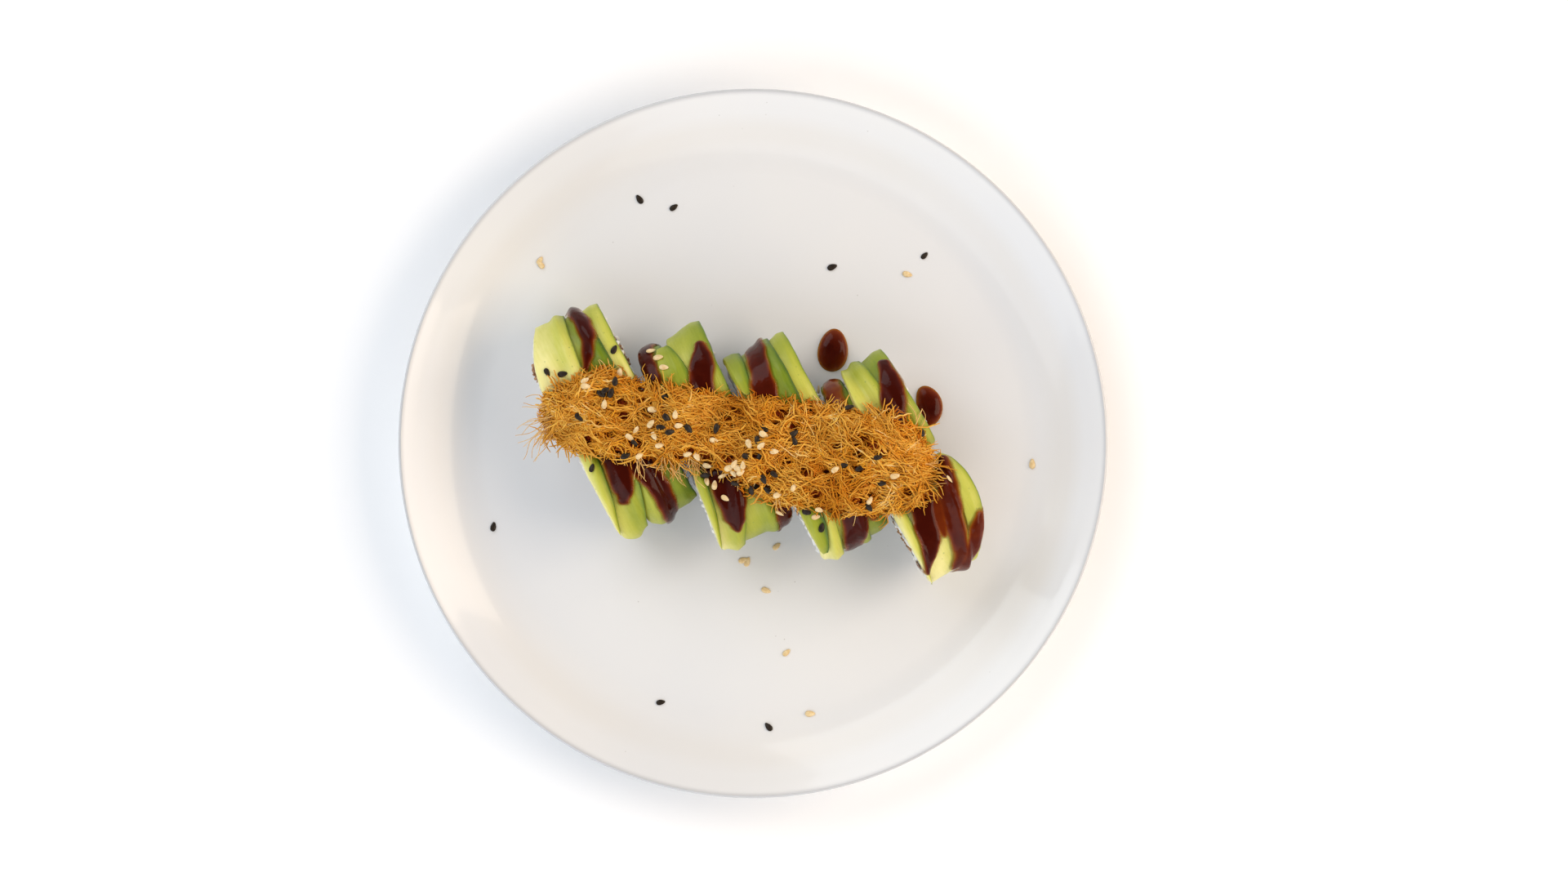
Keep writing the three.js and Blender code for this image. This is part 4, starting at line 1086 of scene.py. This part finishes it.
def scatterTree(name, shape):  # instances of a shape over the faces, denser where "bare" is higher
    sizes = [(key, "Float") for key in ("Spacing", "Crowd", "Length", "Width", "Tilt", "Least", "Most")]
    tree, entry = newTree(name, [*sizes, ("Seed", "Int"), ("Material", "Material")])
    inputs = {"Mesh": entry["Geometry"], "Distance Min": entry["Spacing"], "Density Max": entry["Crowd"],
              "Density Factor": namedValue(tree, "bare"), "Seed": entry["Seed"]}
    points = addNode(tree, "GeometryNodeDistributePointsOnFaces", inputs, distribute_method="POISSON").outputs
    low = times(tree, entry["Tilt"], -1.0)
    euler = combined(tree, randomValue(tree, low, entry["Tilt"], 3), randomValue(tree, low, entry["Tilt"], 4),
                     randomValue(tree, -math.pi, math.pi, 5))
    inputs = {"Rotation": points["Rotation"], "Rotate By": asRotation(tree, euler)}
    turned = addNode(tree, "FunctionNodeRotateRotation", inputs, rotation_space="LOCAL").outputs[0]
    inputs = {"Points": points["Points"], "Instance": shape(tree, entry), "Rotation": turned,
              "Scale": randomValue(tree, entry["Least"], entry["Most"], 6)}
    return endTree(tree, entry, addNode(tree, "GeometryNodeInstanceOnPoints", inputs).outputs[0])


def scattered(name, bed, shape, form, material):  # a copy of the bed grown over with the shape
    thing = addObject(name, bed.data.copy())
    values = {key: form[key.lower()] * mm for key in ("Spacing", "Length", "Width")}
    values |= {key: form[key.lower()] for key in ("Crowd", "Tilt", "Least", "Most", "Seed")}
    return grow(thing, scatterTree(name, shape), {**values, "Material": material})


def grainShape(tree, entry):
    size = combined(tree, entry["Width"], entry["Width"], entry["Length"])
    scaled = transformed(tree, ballOf(tree, 7, 4), Scale=size)
    return transformed(tree, scaled, Rotation=(0.0, math.pi / 2, 0.0))


def makeRice(material):
    points, faces, (bare,) = gathered([(riceParts, piece) for piece in pieces.values()])
    bed = newObject("rice_bed", points, faces, material, {"bare": bare}, weld=0.001)
    grains = scattered("rice_grains", bed, grainShape, riceForm, material)
    return [keepPiece(one, nodesOf("rice")) for one in (bed, grains)]


noriForm = {"rows": 96, "wave": 0.3, "bulge": 0.22, "thin": 0.85}


def ringParts(piece, number, start):  # the nori, a thin sheet with a wavy edge
    rows = noriForm["rows"]
    theta = fullTurn(rows)
    s = sideShare(theta) * 0.6
    inset = gap + noriForm["wave"] * wobble(6 * np.cos(theta), 6 * np.sin(theta), number)
    left, right = cutFaces(piece, s, inset)
    along = np.concatenate([lerp(left, right, t) for t in (0, 0.04, 0.5, 0.96, 1, 1, 0.96, 0.5, 0.04, 0)], 1)
    thin = np.array([0, 0, 0, 0, 0, 1, 1, 1, 1, 1])[None, :] * core["nori"] * noriForm["thin"]
    bulge = noriForm["bulge"] * wobble(4 * np.cos(theta), 4 * np.sin(theta), number + 3)
    size = [core[key] - thin + bulge for key in ("halfWidth", "above", "below")]
    points = ovalPoints(piece, along, np.broadcast_to(theta, along.shape), *size)
    closed = np.concatenate([points, points[:, :1]], 1)
    return toPlate(piece, closed.reshape(-1, 3)), gridFaces(rows, 11, start, closed=True), []


stickForm = {"rows": 72, "rings": 10, "crumbRoom": 0.8, "crag": 0.55, "round": 0.9}
crumbForm = {
    "spacing": 0.75, "crowd": 900000.0, "length": 1.7, "width": 1.1, "tilt": 1.2, "least": 0.6, "most": 1.35,
    "seed": 5,
}


def fillingParts(piece, number, start):  # a rough crisp stick that stands out of both faces
    rows, rings, room = stickForm["rows"], stickForm["rings"], stickForm["crumbRoom"]
    outLeft, outRight = piece["filling"]
    theta = fullTurn(rows)
    inset = core["nori"] + gap
    reach = np.linspace(0, 1, rings)[None, :]
    share = np.concatenate([reach, reach[:, ::-1]], 1)
    ends = [across(piece["left"], 0) - outLeft + room, across(piece["right"], 0) + outRight - room]
    side = np.concatenate([0 * reach, 0 * reach + 1], 1)
    crag = wobble(share * 9 * np.cos(theta) + 40 * side, share * 9 * np.sin(theta), number)
    drop = stickForm["round"] * share ** 3 + stickForm["crag"] * (1 + crag)
    along = lerp(ends[0] + drop, ends[1] - drop, side)
    rough = 1 - 0.05 * (1 + wobble(4 * np.cos(theta) + 3 * side, 4 * np.sin(theta), number + 2)) * share
    size = [(core[key] - inset) * share * rough for key in ("halfWidth", "above", "below")]
    points = ovalPoints(piece, along, np.broadcast_to(theta, along.shape), *size)
    bare = (share > 0.05).astype(float) * np.ones(along.shape)
    faces = gridFaces(rows, 2 * rings, start, closed=True)
    return toPlate(piece, points.reshape(-1, 3)), faces, [bare.ravel()]


def crumbShape(tree, entry):
    ball = addNode(tree, "GeometryNodeMeshIcoSphere", {"Radius": 0.5, "Subdivisions": 1}).outputs[0]
    return transformed(tree, ball, Scale=combined(tree, entry["Length"], entry["Width"], entry["Width"]))


def makeNoriAndFilling():
    numbered = [(piece, number) for number, piece in enumerate(pieces.values())]
    points, faces, _ = gathered([(ringParts, *one) for one in numbered])
    sheets = newObject("nori_sheets", points, faces, plainFinish("noriSheet"), weld=0.001)
    keepPiece(sheets, nodesOf("nori"))
    fried = plainFinish("friedCrumb")
    points, faces, (bare,) = gathered([(fillingParts, *one) for one in numbered])
    sticks = newObject("filling_sticks", points, faces, fried, {"bare": bare}, weld=0.001)
    crumbs = scattered("filling_crumbs", sticks, crumbShape, crumbForm, fried)
    return [sheets, *(keepPiece(one, nodesOf("filling")) for one in (sticks, crumbs))]


# the floss heap
# Its outline is places along it, and how far it reaches to the back and the front of its
# middle line. Dull places are x, y, reach and amount, and holes are pixels of the photo.

heap = {
    "start": -66.0, "end": 56.5, "from": -65.0, "to": 58.0, "middle": (-5.4, -1.6, 9.6), "height": 8.6,
    "mapStep": 0.75, "bridge": 7, "overhang": 16, "droop": 1.5, "thick": 3.2, "top": 48.3, "seed": 21,
    "margin": 26, "reach": 46.0, "bedSunk": 1.15, "open": 14,
    "colours": ((0.3, 0.04, 0.004), (0.66, 0.185, 0.007)),
    "outline": [
        (-66, 3, 3), (-62, 8, 8), (-57, 11, 9.4), (-47, 18.5, 8.6), (-39, 16, 8), (-31, 15.5, 7.6),
        (-24, 16, 7), (-13, 15.5, 5.2), (-3, 15.7, 10), (5, 16, 16), (23, 16, 16), (36, 14, 17.5),
        (46, 14.5, 15.5), (49.5, 13, 14), (53, 7.5, 12.5), (55, 3.5, 11), (56.5, 1, 4),
    ],
    "dull": [(-5, 6, 11, 0.3), (26, -17, 10, 0.5), (-30, -2, 7, 0.25)],
    "holes": [
        (741, 482), (784, 476), (783, 491), (764, 509), (747, 533), (778, 543), (757, 551), (792, 506),
        (815, 485), (792, 564), (718, 538), (733, 518), (760, 492), (902, 502), (891, 512), (956, 506),
        (992, 504), (948, 517), (845, 552), (891, 561), (926, 558), (942, 578), (940, 597), (986, 578),
        (1000, 605), (926, 595), (862, 557), (831, 558), (973, 521), (962, 564), (1025, 546), (1037, 539),
        (1047, 544), (1069, 545), (1057, 534), (1080, 554), (1051, 574), (1011, 578), (1064, 605),
        (1050, 613), (1113, 602), (1024, 606), (1102, 516), (1112, 532), (1051, 556),
    ],
}
# The kinds are layers of one shred. The lower a layer lies, the darker its colours, a painted shade down in
# the heap; the upper layers get lighter colours, a painted light on its top.
strandKinds = {
    "floss_deep": {
        "count": 5000, "layer": (-1.8, -0.4), "arch": 0.4, "length": (3, 8), "girth": 0.22, "curl": 0.6,
        "tuft": 3, "steps": 4, "colours": ((0.44, 0.09, 0.003), (0.7, 0.22, 0.009)), "margin": -0.3,
    },
    "floss_mid": {
        "count": 7400, "layer": (-1.2, 0.5), "arch": 0.8, "length": (2.2, 6.5), "girth": 0.22, "curl": 0.6,
        "tuft": 6, "steps": 4, "colours": ((0.48, 0.13, 0.004), (0.79, 0.29, 0.012)),
    },
    "floss_light": {
        "count": 7400, "layer": (-0.4, 0.9), "arch": 1.0, "length": (2.2, 6.5), "girth": 0.24, "curl": 0.6,
        "tuft": 6, "steps": 4, "colours": ((0.48, 0.145, 0.005), (0.85, 0.38, 0.026)),
    },
    "floss_long": {
        "count": 4200, "layer": (0.0, 1.3), "arch": 1.2, "length": (5, 15), "girth": 0.25, "curl": 0.36,
        "tuft": 3, "steps": 8, "colours": ((0.56, 0.2, 0.008), (0.88, 0.47, 0.07), (0.84, 0.56, 0.22)),
    },
}
strandLay = {  # how the shreds of a tuft lie together
    "heading": -16, "headingSpread": 0.5, "aligned": 0.58, "fan": 0.28, "tuftBend": 0.10, "bend": 0.04,
    "mostBend": 1.1, "apart": 0.55, "layerSpread": 0.22, "clear": 0.3, "acrossHoles": 0.06,
}


def heapSide(x, y):  # how far from the middle line to the edge a place is, and how slender the heap is there
    t = 2 * (x - heap["from"]) / (heap["to"] - heap["from"]) - 1
    offset = y - across(heap["middle"], np.clip(t, -1, 1))
    places, back, front = zip(*heap["outline"])
    back, front = np.interp(x, places, back), np.interp(x, places, front)
    within = (x > heap["start"]) & (x < heap["end"])
    side = np.where(within, offset / np.where(offset < 0, front, back), 9.0 * np.sign(offset))
    return side, (back + front) / 2


def heapBulk(x, side, slender):
    bulk = heap["height"] * (1 - 0.72 * np.abs(side) ** 2.2) * smooth(slender / 16)
    bulk = bulk * (0.86 + 0.12 * np.sin(x * 0.18 + 3 * side) + 0.1 * np.sin(x * 0.37 - 5 * side))
    return np.maximum(bulk, 0) * smooth((1.08 - np.abs(side)) / 0.3)


def surfaceBelow(things):
    points, faces = [], []
    for thing in things:
        start = len(points)
        points += [vertex.co.copy() for vertex in thing.data.vertices]
        faces += [[start + index for index in face.vertices] for face in thing.data.polygons]
    return BVHTree.FromPolygons(points, faces)


def neighbours(grid):
    padded = np.pad(grid, 1, mode="edge")
    rows, columns = grid.shape
    return np.array([padded[i:i + rows, j:j + columns] for i in range(3) for j in range(3)])


def hanging(grid):  # the shreds hang over an edge and don't drop to what is under it
    for _ in range(heap["overhang"]):
        grid = np.maximum(grid, neighbours(grid).max(0) - heap["droop"] * heap["mapStep"])
    return grid


class HeightMap:  # the heap's floor and top over a grid of places
    def __init__(self, tree):
        margin, reach = heap["margin"], heap["reach"]
        self.x0, self.y0, self.step = heap["start"] - margin, -reach, heap["mapStep"]
        xs = np.arange(self.x0, heap["end"] + margin, self.step)
        ys = np.arange(self.y0, reach, self.step)
        floor = np.full((len(xs), len(ys)), plateFloor)
        for i, x in enumerate(xs):
            for j, y in enumerate(ys):
                hit = tree.ray_cast(Vector((x * mm, y * mm, 0.2)), Vector((0, 0, -1)))[0]
                if hit is not None:
                    floor[i, j] = hit.z / mm
        side, slender = heapSide(xs[:, None], ys[None, :])
        within = smooth((1.12 - np.abs(side)) / 0.25)
        spread = floor
        for _ in range(heap["bridge"]):
            spread = neighbours(spread).max(0)
        for _ in range(heap["bridge"]):
            spread = neighbours(spread).min(0)
        self.floor = neighbours(floor).max(0)
        bridged = np.maximum(blurred(spread, 4), self.floor)
        draped = lerp(self.floor, np.maximum(bridged, hanging(self.floor)), within)
        bulk = np.where(np.abs(side) < 1.08, heapBulk(xs[:, None], side, slender), 0)
        self.top = hanging(blurred(draped + bulk, 2))
        self.xs, self.ys, self.side = xs, ys, side

    def at(self, grid, x, y):
        i = np.clip((x - self.x0) / self.step, 0, grid.shape[0] - 1.001)
        j = np.clip((y - self.y0) / self.step, 0, grid.shape[1] - 1.001)
        i0, j0 = i.astype(int), j.astype(int)
        a, b = i - i0, j - j0
        return (grid[i0, j0] * (1 - a) * (1 - b) + grid[i0 + 1, j0] * a * (1 - b)
                + grid[i0, j0 + 1] * (1 - a) * b + grid[i0 + 1, j0 + 1] * a * b)


def tuftPlaces(random, count):
    places = np.zeros((0, 2))
    while len(places) < count:
        x = random.uniform(heap["start"], heap["end"], count)
        y = random.uniform(-32, 32, count)
        side = np.abs(heapSide(x, y)[0])
        kept = random.random(count) < smooth((1.02 - side) / 0.12)
        places = np.vstack([places, np.stack([x, y], -1)[kept]])
    return places[:count]


def evened(points, times=1):  # smooths the heights along each strand
    for _ in range(times):
        z = np.pad(points[:, :, 2], ((0, 0), (1, 1)), mode="edge")
        points[:, :, 2] = (z[:, :-2] + 2 * z[:, 1:-1] + z[:, 2:]) / 4
    return points


def strandPaths(heights, kind, random):
    form, lay = strandKinds[kind], strandLay
    tufts = form["count"] // form["tuft"]
    which = np.repeat(np.arange(tufts), form["tuft"])
    count = len(which)
    places = tuftPlaces(random, tufts)[which]
    mostly = random.normal(math.radians(lay["heading"]), lay["headingSpread"], tufts)
    aligned = random.random(tufts) < lay["aligned"]
    heading = np.where(aligned, mostly, random.uniform(-math.pi, math.pi, tufts))[which]
    heading = heading + random.normal(0, lay["fan"], count)
    long = random.uniform(*form["length"], tufts)[which] * random.uniform(0.75, 1.2, count)
    bend = random.normal(0, lay["tuftBend"], tufts)[which] + random.normal(0, lay["bend"], count)
    bend = np.clip(bend, -lay["mostBend"] / long, lay["mostBend"] / long)
    waves = [(form["curl"] * random.uniform(0.3, 1, count), random.uniform(1.1, 2.6, count),
              random.uniform(0, 2 * math.pi, tufts)[which] + random.normal(0, 0.8, count)) for _ in range(2)]
    steps = form["steps"]
    layer = random.uniform(*form["layer"], tufts)[which] + random.normal(0, lay["layerSpread"], count)
    arch = form["arch"] * random.random(count) ** 1.6
    x = places[:, 0] + random.normal(0, lay["apart"], count) - long / 2 * np.cos(heading)
    y = places[:, 1] + random.normal(0, lay["apart"], count) - long / 2 * np.sin(heading)
    points = np.zeros((count, steps + 1, 3))
    for k in range(steps + 1):
        part = k / steps
        way = heading + bend * long * (part - 0.5)
        for size, turns, phase in waves:
            way = way + size * np.sin(turns * long * part + phase)
        if k:
            x = x + long / steps * np.cos(way)
            y = y + long / steps * np.sin(way)
        ground = heights.at(heights.floor, x, y) + lay["clear"]
        rise = layer + arch * math.sin(math.pi * part) + 0.3 * np.sin(1.7 * long * part + waves[0][2])
        z = heights.at(heights.top, x, y) + rise
        points[:, k] = np.stack([x, y, np.clip(np.maximum(z, ground), 0, heap["top"])], -1)
    taper = np.interp(np.linspace(0, 1, steps + 1), (0, 0.15, 0.8, 1), (0.5, 1, 0.95, 0.35))
    girth = form["girth"] * random.uniform(0.7, 1.35, count)[:, None] * taper[None, :]
    tone = 0.1 + 0.5 * random.random(tufts)[which] + 0.4 * random.random(count)
    for a, b, reach, amount in heap["dull"]:
        tone = tone - amount * np.exp(-((places[:, 0] - a) ** 2 + (places[:, 1] - b) ** 2) / reach ** 2)
    return evened(points), girth, np.repeat(tone[:, None], steps + 1, 1)


def fromHoles(x, y):  # how far outside the nearest open spot of the heap a place is
    sizes = np.random.default_rng(heap["seed"] + 1).uniform(0.75, 1.55, len(heap["holes"]))
    centres = [pixelSpot(u, v, heap["top"] - 5) for u, v in heap["holes"]]
    return np.min([np.hypot((x - a) / 1.4, y - b) - size for (a, b), size in zip(centres, sizes)], axis=0)


def openHoles(paths, margin, random):  # leaves out most strands that cross the open spots
    points, girth, shade = paths
    apart = fromHoles(points[:, :, 0], points[:, :, 1]).min(1)
    kept = (apart > margin) | (random.random(len(points)) < strandLay["acrossHoles"])
    return points[kept], girth[kept], shade[kept]


def strandTree():  # each chain of edges becomes a thin round shred
    tree, entry = newTree("flossStrands", [("Sides", "Int"), ("Width", "Float"), ("Material", "Material")])
    line = addNode(tree, "GeometryNodeMeshToCurve", {"Mesh": entry["Geometry"]}).outputs[0]
    ring = addNode(tree, "GeometryNodeCurvePrimitiveCircle", {"Resolution": entry["Sides"], "Radius": 1.0})
    inputs = {"Curve": line, "Profile Curve": ring.outputs[0], "Fill Caps": True,
              "Scale": times(tree, namedValue(tree, "girth"), entry["Width"])}
    return endTree(tree, entry, addNode(tree, "GeometryNodeCurveToMesh", inputs).outputs[0])


def makeStrands(name, points, girth, shade, tree, material):
    count, steps = points.shape[:2]
    index = np.arange(count * steps).reshape(count, steps)
    edges = np.stack([index[:, :-1].ravel(), index[:, 1:].ravel()], -1).tolist()
    attributes = {"girth": girth.ravel(), "shade": shade.ravel()}
    strands = newObject(name, points.reshape(-1, 3), [], None, attributes, edges=edges)
    grow(strands, tree, {"Sides": 3, "Width": mm, "Material": material})
    return keepPiece(strands, ["floss"])


def makeHeapBed(heights, material):  # the matted inside of the heap
    x, y = np.meshgrid(heights.xs, heights.ys, indexing="ij")
    keep = fullCells(np.abs(heights.side) < 0.9)
    rough = 0.4 * wobble(x * 2.1, y * 2.3, 3) + 0.25 * wobble(x * 4.7, y * 4.1, 8)
    top = np.maximum(heights.top - heap["bedSunk"] + rough, heights.floor + 0.15)
    thin = np.maximum(heights.floor, top - heap["thick"])
    under = np.where(heights.floor < heap["open"], thin, heights.floor) - 0.4
    sheet = [np.stack([x, y, level], -1) for level in (top, under)]
    # The bed is painted darker in its own dips, a painted shade, and darker at the open spots, both for the
    # sauce under the floss and as painted shade down in them.
    light = smooth(fromHoles(x, y) / 0.7 + 0.3) * (0.8 + 0.3 * rough)
    points, faces, (shade,) = sheetParts(*sheet, keep, [light], 0)
    bed = newObject("floss_bed", points, faces, material, {"shade": shade}, weld=0.001)
    return keepPiece(bed, ["floss"])


strayForm = {"steps": 14, "girth": 0.2, "colours": ((0.60, 0.27, 0.04), (0.84, 0.53, 0.20))}
strayTufts = [  # where each starts, its heading in degrees, length, bend and number
    (-64, 12.6, 183, 11, 0.02, 3), (-62, 8.2, 194, 15, 0.02, 6), (-64, 6.6, 232, 15, 0.03, 7),
    (-62, 3, 205, 8, 0.05, 4), (-62, 10.5, 176, 8, 0.06, 4), (54, -13, -25, 6, 0.06, 3),
    (54, -6, 15, 6, -0.08, 3), (52, 6, 62, 6, 0.1, 4), (-46, 21, 100, 6, 0.1, 4), (8, -17, -80, 6, 0.08, 4),
    (34, -20, -110, 6, -0.08, 4), (-36, -4, -85, 8, 0.03, 8), (-28, -4, -100, 7, 0.05, 8),
    (-26, -8, -45, 7, 0.05, 4), (-34, -7, -20, 8, 0.05, 4), (-22, -5, -120, 7, 0.05, 5),
    (-18, -5, -80, 6, 0.05, 4), (-3, -8, -60, 8, 0.05, 4), (2, -9, -100, 7, 0.05, 3),
    (5, -14, -150, 8, 0.05, 3), (-6, -6, -95, 8, 0.04, 4), (-42, -3, -70, 4, 0.05, 5),
    (-47, -1, -100, 3, 0.05, 4), (-19, -4.5, -75, 9, 0.04, 7), (-16.5, -4.5, -95, 7, 0.04, 5),
]


def strayPaths(heights, random):
    steps = strayForm["steps"]
    level = lambda grid, x, y: float(heights.at(grid, np.array([x]), np.array([y]))[0])
    points = []
    for x0, y0, heading, length, bend, number in strayTufts:
        for _ in range(number):
            x, y = x0 + random.normal(0, 0.8), y0 + random.normal(0, 0.8)
            aim = math.radians(heading) + random.normal(0, 0.16)
            long = length * random.uniform(0.7, 1.1)
            turns, phase = random.uniform(0.25, 0.6), random.uniform(0, 6)
            rest = level(heights.top, x, y) + 0.4
            path = []
            for k in range(steps + 1):
                part = k / steps
                way = aim + bend * long * part + 0.35 * math.sin(turns * long * part + phase)
                if k:
                    x, y = x + long / steps * math.cos(way), y + long / steps * math.sin(way)
                fallen = max(rest - 1.5 * part - 0.5 * long * part ** 2, level(heights.floor, x, y) + 0.6)
                path.append((x, y, min(fallen, heap["top"])))
            points.append(path)
    points = evened(np.array(points), 3)
    girth = strayForm["girth"] * np.ones(points.shape[:2]) * np.linspace(1, 0.5, steps + 1)[None, :]
    shade = 0.2 + 0.7 * random.random(len(points))
    return points, girth, np.repeat(shade[:, None], steps + 1, 1)


def makeHeap(things):
    heights = HeightMap(surfaceBelow(things))
    random = np.random.default_rng(heap["seed"])
    tree = strandTree()
    made = [makeHeapBed(heights, flossFinish("flossBed", *heap["colours"], matted=True))]
    for kind, form in strandKinds.items():
        paths = openHoles(strandPaths(heights, kind, random), form.get("margin", 0), random)
        made.append(makeStrands(kind, *paths, tree, flossFinish(kind + "Finish", *form["colours"])))
    finish = flossFinish("straysFinish", *strayForm["colours"])
    made.append(makeStrands("floss_strays", *strayPaths(heights, random), tree, finish))
    return made


# sesame
# Places are pixels of the photo, each with a heading in degrees where it can be read.

seedForm = {"length": 3.1, "width": 1.8, "height": 0.9, "taper": 0.28, "sunk": 0.25, "seed": 4}
seedPlaces = {
    "sesame_black": [
        (783, 244, 125), (825, 254, 35), (1019, 327, 20), (1132, 313, 45), (604, 645, 80), (809, 860, 10),
        (941, 890, 130), (670, 456, -62), (689, 458, 10), (752, 428, 62), (709, 511, -40), (816, 512, -55),
        (814, 486, -30), (809, 523), (820, 529), (843, 525, -50), (877, 525), (777, 543), (725, 573, 75),
        (753, 467, 80), (863, 582), (936, 525), (972, 531, 40), (973, 540), (927, 539), (914, 559, -15),
        (930, 559), (1033, 570, 10), (1052, 574), (1080, 592, 0), (1129, 530, 55), (1040, 499, 15),
        (926, 596, 60), (935, 587), (948, 581, -40), (940, 600), (988, 627, -10), (1006, 646, 80),
        (1064, 621, -50), (741, 478, 30), (736, 482, -40), (748, 481, 70), (766, 558, 20), (900, 592, -20),
        (1075, 560, 10), (920, 600, 80),
    ],
    "sesame_white": [
        (661, 319, 60), (662, 324, 130), (1111, 336, -15), (1264, 568, 90), (910, 686, 15), (915, 688, 70),
        (951, 669, 40), (938, 723, -20), (963, 799, 40), (992, 874, 0), (716, 466, 30), (717, 473, 0),
        (759, 456, 70), (797, 430, 35), (806, 438, 0), (813, 450, -5), (740, 495, 80), (799, 502, -10),
        (827, 507, 75), (797, 519, 50), (831, 521, 5), (779, 527, 70), (801, 534, -60), (874, 539, -10),
        (808, 545, 20), (783, 558, 40), (853, 559, -60), (866, 570, 5), (899, 568, 60), (885, 582, 30),
        (866, 590, -60), (875, 594, 85), (888, 610, -30), (935, 532, -30), (917, 544, -70), (932, 546, 45),
        (948, 553, 0), (898, 579, -60), (910, 569, 80), (972, 596, 60), (1003, 624, -50), (999, 633, 10),
        (955, 628, -45), (952, 606, 20), (1023, 575, 40), (1065, 613, 60), (1162, 587, -40), (1003, 477, 60),
        (904, 574, -30), (893, 573, 20), (907, 578, 40), (1096, 583, 10), (771, 536, -35), (842, 556, 15),
    ],
}


def pixelSpot(u, v, height):  # the place at that height which the photo shows at the pixel
    eye, aim = pixelRay(u, v)
    spot = eye + aim * ((eye.z - height * mm) / -aim.z)
    return spot.x / mm, spot.y / mm


def pixelRay(u, v):
    eye = Vector(photo["eye"]) * mm
    spread = photo["mmPerPixel"] / photo["rimDepth"]
    aim = Vector(((u - photo["width"] / 2) * spread, (photo["height"] / 2 - v) * spread, -1))
    return eye, aim.normalized()


def seedTree():
    sizes = [(key, "Float") for key in ("Length", "Width", "Height", "Taper")]
    tree, entry = newTree("sesameSeeds", [*sizes, ("Material", "Material")])
    laid = transformed(tree, ballOf(tree, 14, 10), Rotation=(0.0, math.pi / 2, 0.0))
    flat = separated(tree, position(tree))
    broad = minus(tree, 1.0, times(tree, times(tree, flat["X"], 2.0), entry["Taper"]))
    shape = combined(tree, times(tree, flat["X"], entry["Length"]),
                     times(tree, times(tree, flat["Y"], broad), entry["Width"]),
                     times(tree, times(tree, flat["Z"], broad), entry["Height"]))
    seed = addNode(tree, "GeometryNodeSetPosition", {"Geometry": laid, "Position": shape}).outputs[0]
    turn = asRotation(tree, namedValue(tree, "turn", "FLOAT_VECTOR"))
    inputs = {"Points": entry["Geometry"], "Instance": seed, "Rotation": turn,
              "Scale": namedValue(tree, "size")}
    return endTree(tree, entry, addNode(tree, "GeometryNodeInstanceOnPoints", inputs).outputs[0])


def seedSpot(ground, u, v):  # a seed bridges what is under it, so a few rays round the pixel are tried
    spots = []
    for du, dv in ((0, 0), (2, 0), (-2, 0), (0, 2), (0, -2)):
        hit, normal = ground.ray_cast(*pixelRay(u + du, v + dv))[:2]
        if hit is not None:
            spots.append((hit.z, normal))
    spots.sort(key=lambda spot: -spot[0])
    eye, aim = pixelRay(u, v)
    height = (spots[0][0] + spots[1][0]) / 2
    return eye + aim * ((eye.z - height) / -aim.z), spots[0][1]


def makeSeeds(things, strands):
    ground = surfaceBelow([*things, *strands])
    random = np.random.default_rng(seedForm["seed"])
    tree = seedTree()
    looks = {"sesame_black": plainFinish("blackHull"), "sesame_white": plainFinish("whiteHull")}
    for kind, places in seedPlaces.items():
        points, turns, sizes = [], [], []
        for u, v, *given in places:
            hit, normal = seedSpot(ground, u, v)
            if abs(heapSide(np.array(hit.x / mm), np.array(hit.y / mm))[0]) < 1:  # it lies on the floss
                normal = Vector((0, 0, 1)) + Vector(random.uniform(-0.3, 0.3, 3))
            if normal.z < 0:
                normal = -normal
            heading = math.radians(given[0]) if given else random.uniform(-math.pi, math.pi)
            along = Vector((math.cos(heading), math.sin(heading), 0))
            up = normal.normalized()
            along = (along - up * along.dot(up)).normalized()
            aside = up.cross(along)
            turns.append(matrixEuler(np.array([along, aside, up]).T))
            points.append(np.array(hit) / mm + np.array(up) * (seedForm["height"] / 2 - seedForm["sunk"]))
            sizes.append(random.uniform(0.9, 1.1))
        attributes = {"turn": np.array(turns), "size": np.array(sizes)}
        seeds = newObject(kind, np.array(points), [], None, attributes)
        values = {key: seedForm[key.lower()] * mm for key in ("Length", "Width", "Height")}
        grow(seeds, tree, {**values, "Taper": seedForm["taper"], "Material": looks[kind]})
        keepPiece(seeds)
        print(f"scene: {kind} {triangleCount(seeds)} triangles")


def matrixEuler(rows):  # turns about x, then y, then z
    y = math.asin(max(-1.0, min(1.0, -rows[2][0])))
    return math.atan2(rows[2][1], rows[2][2]), y, math.atan2(rows[1][0], rows[0][0])


# the whole

def addFloor():
    size = stageLook["floorSize"]
    material, tree, surface = newMaterial("paleFloor", Roughness=0.9)
    place = objectPlace(tree)
    low = tuple(value * 0.985 for value in stageLook["floorColour"])
    colour = rampOf(tree, noiseAt(tree, place, 2, 1), [(0.3, low), (0.7, stageLook["floorColour"])])
    tree.links.new(colour, surface.inputs["Base Color"])
    half = size / 2 / mm
    corners = [(-half, -half, 0), (half, -half, 0), (half, half, 0), (-half, half, 0)]
    floor = newObject("floor", corners, [(0, 1, 2, 3)], material)


bpy.context.scene.view_settings.view_transform = "Standard"
addCamera()
addLights()
addFloor()
print("scene: camera, lights and floor are set")
plate = makePlate()
print(f"scene: plate {triangleCount(plate)} triangles")
sauce = sauceGlaze()
slices = makeAvocado(avocadoFlesh())
print(f"scene: {len(slices)} avocado slices {sum(map(triangleCount, slices))} triangles")
runs = makeSauceRuns(sauce)
drops = makeDrops(sauce)
print(f"scene: sauce {triangleCount(runs)} triangles")
riceBed, riceGrains = makeRice(plainFinish("riceGrain"))
print(f"scene: rice {triangleCount(riceBed)} and {triangleCount(riceGrains)} triangles")
print(f"scene: nori and filling {[triangleCount(one) for one in makeNoriAndFilling()]} triangles")
carriers = [plate, runs, riceBed, *slices, *drops]
strands = makeHeap(carriers)
print(f"scene: floss {[triangleCount(one) for one in strands]} triangles")
makeSeeds(carriers, strands)

print("scene: finished")
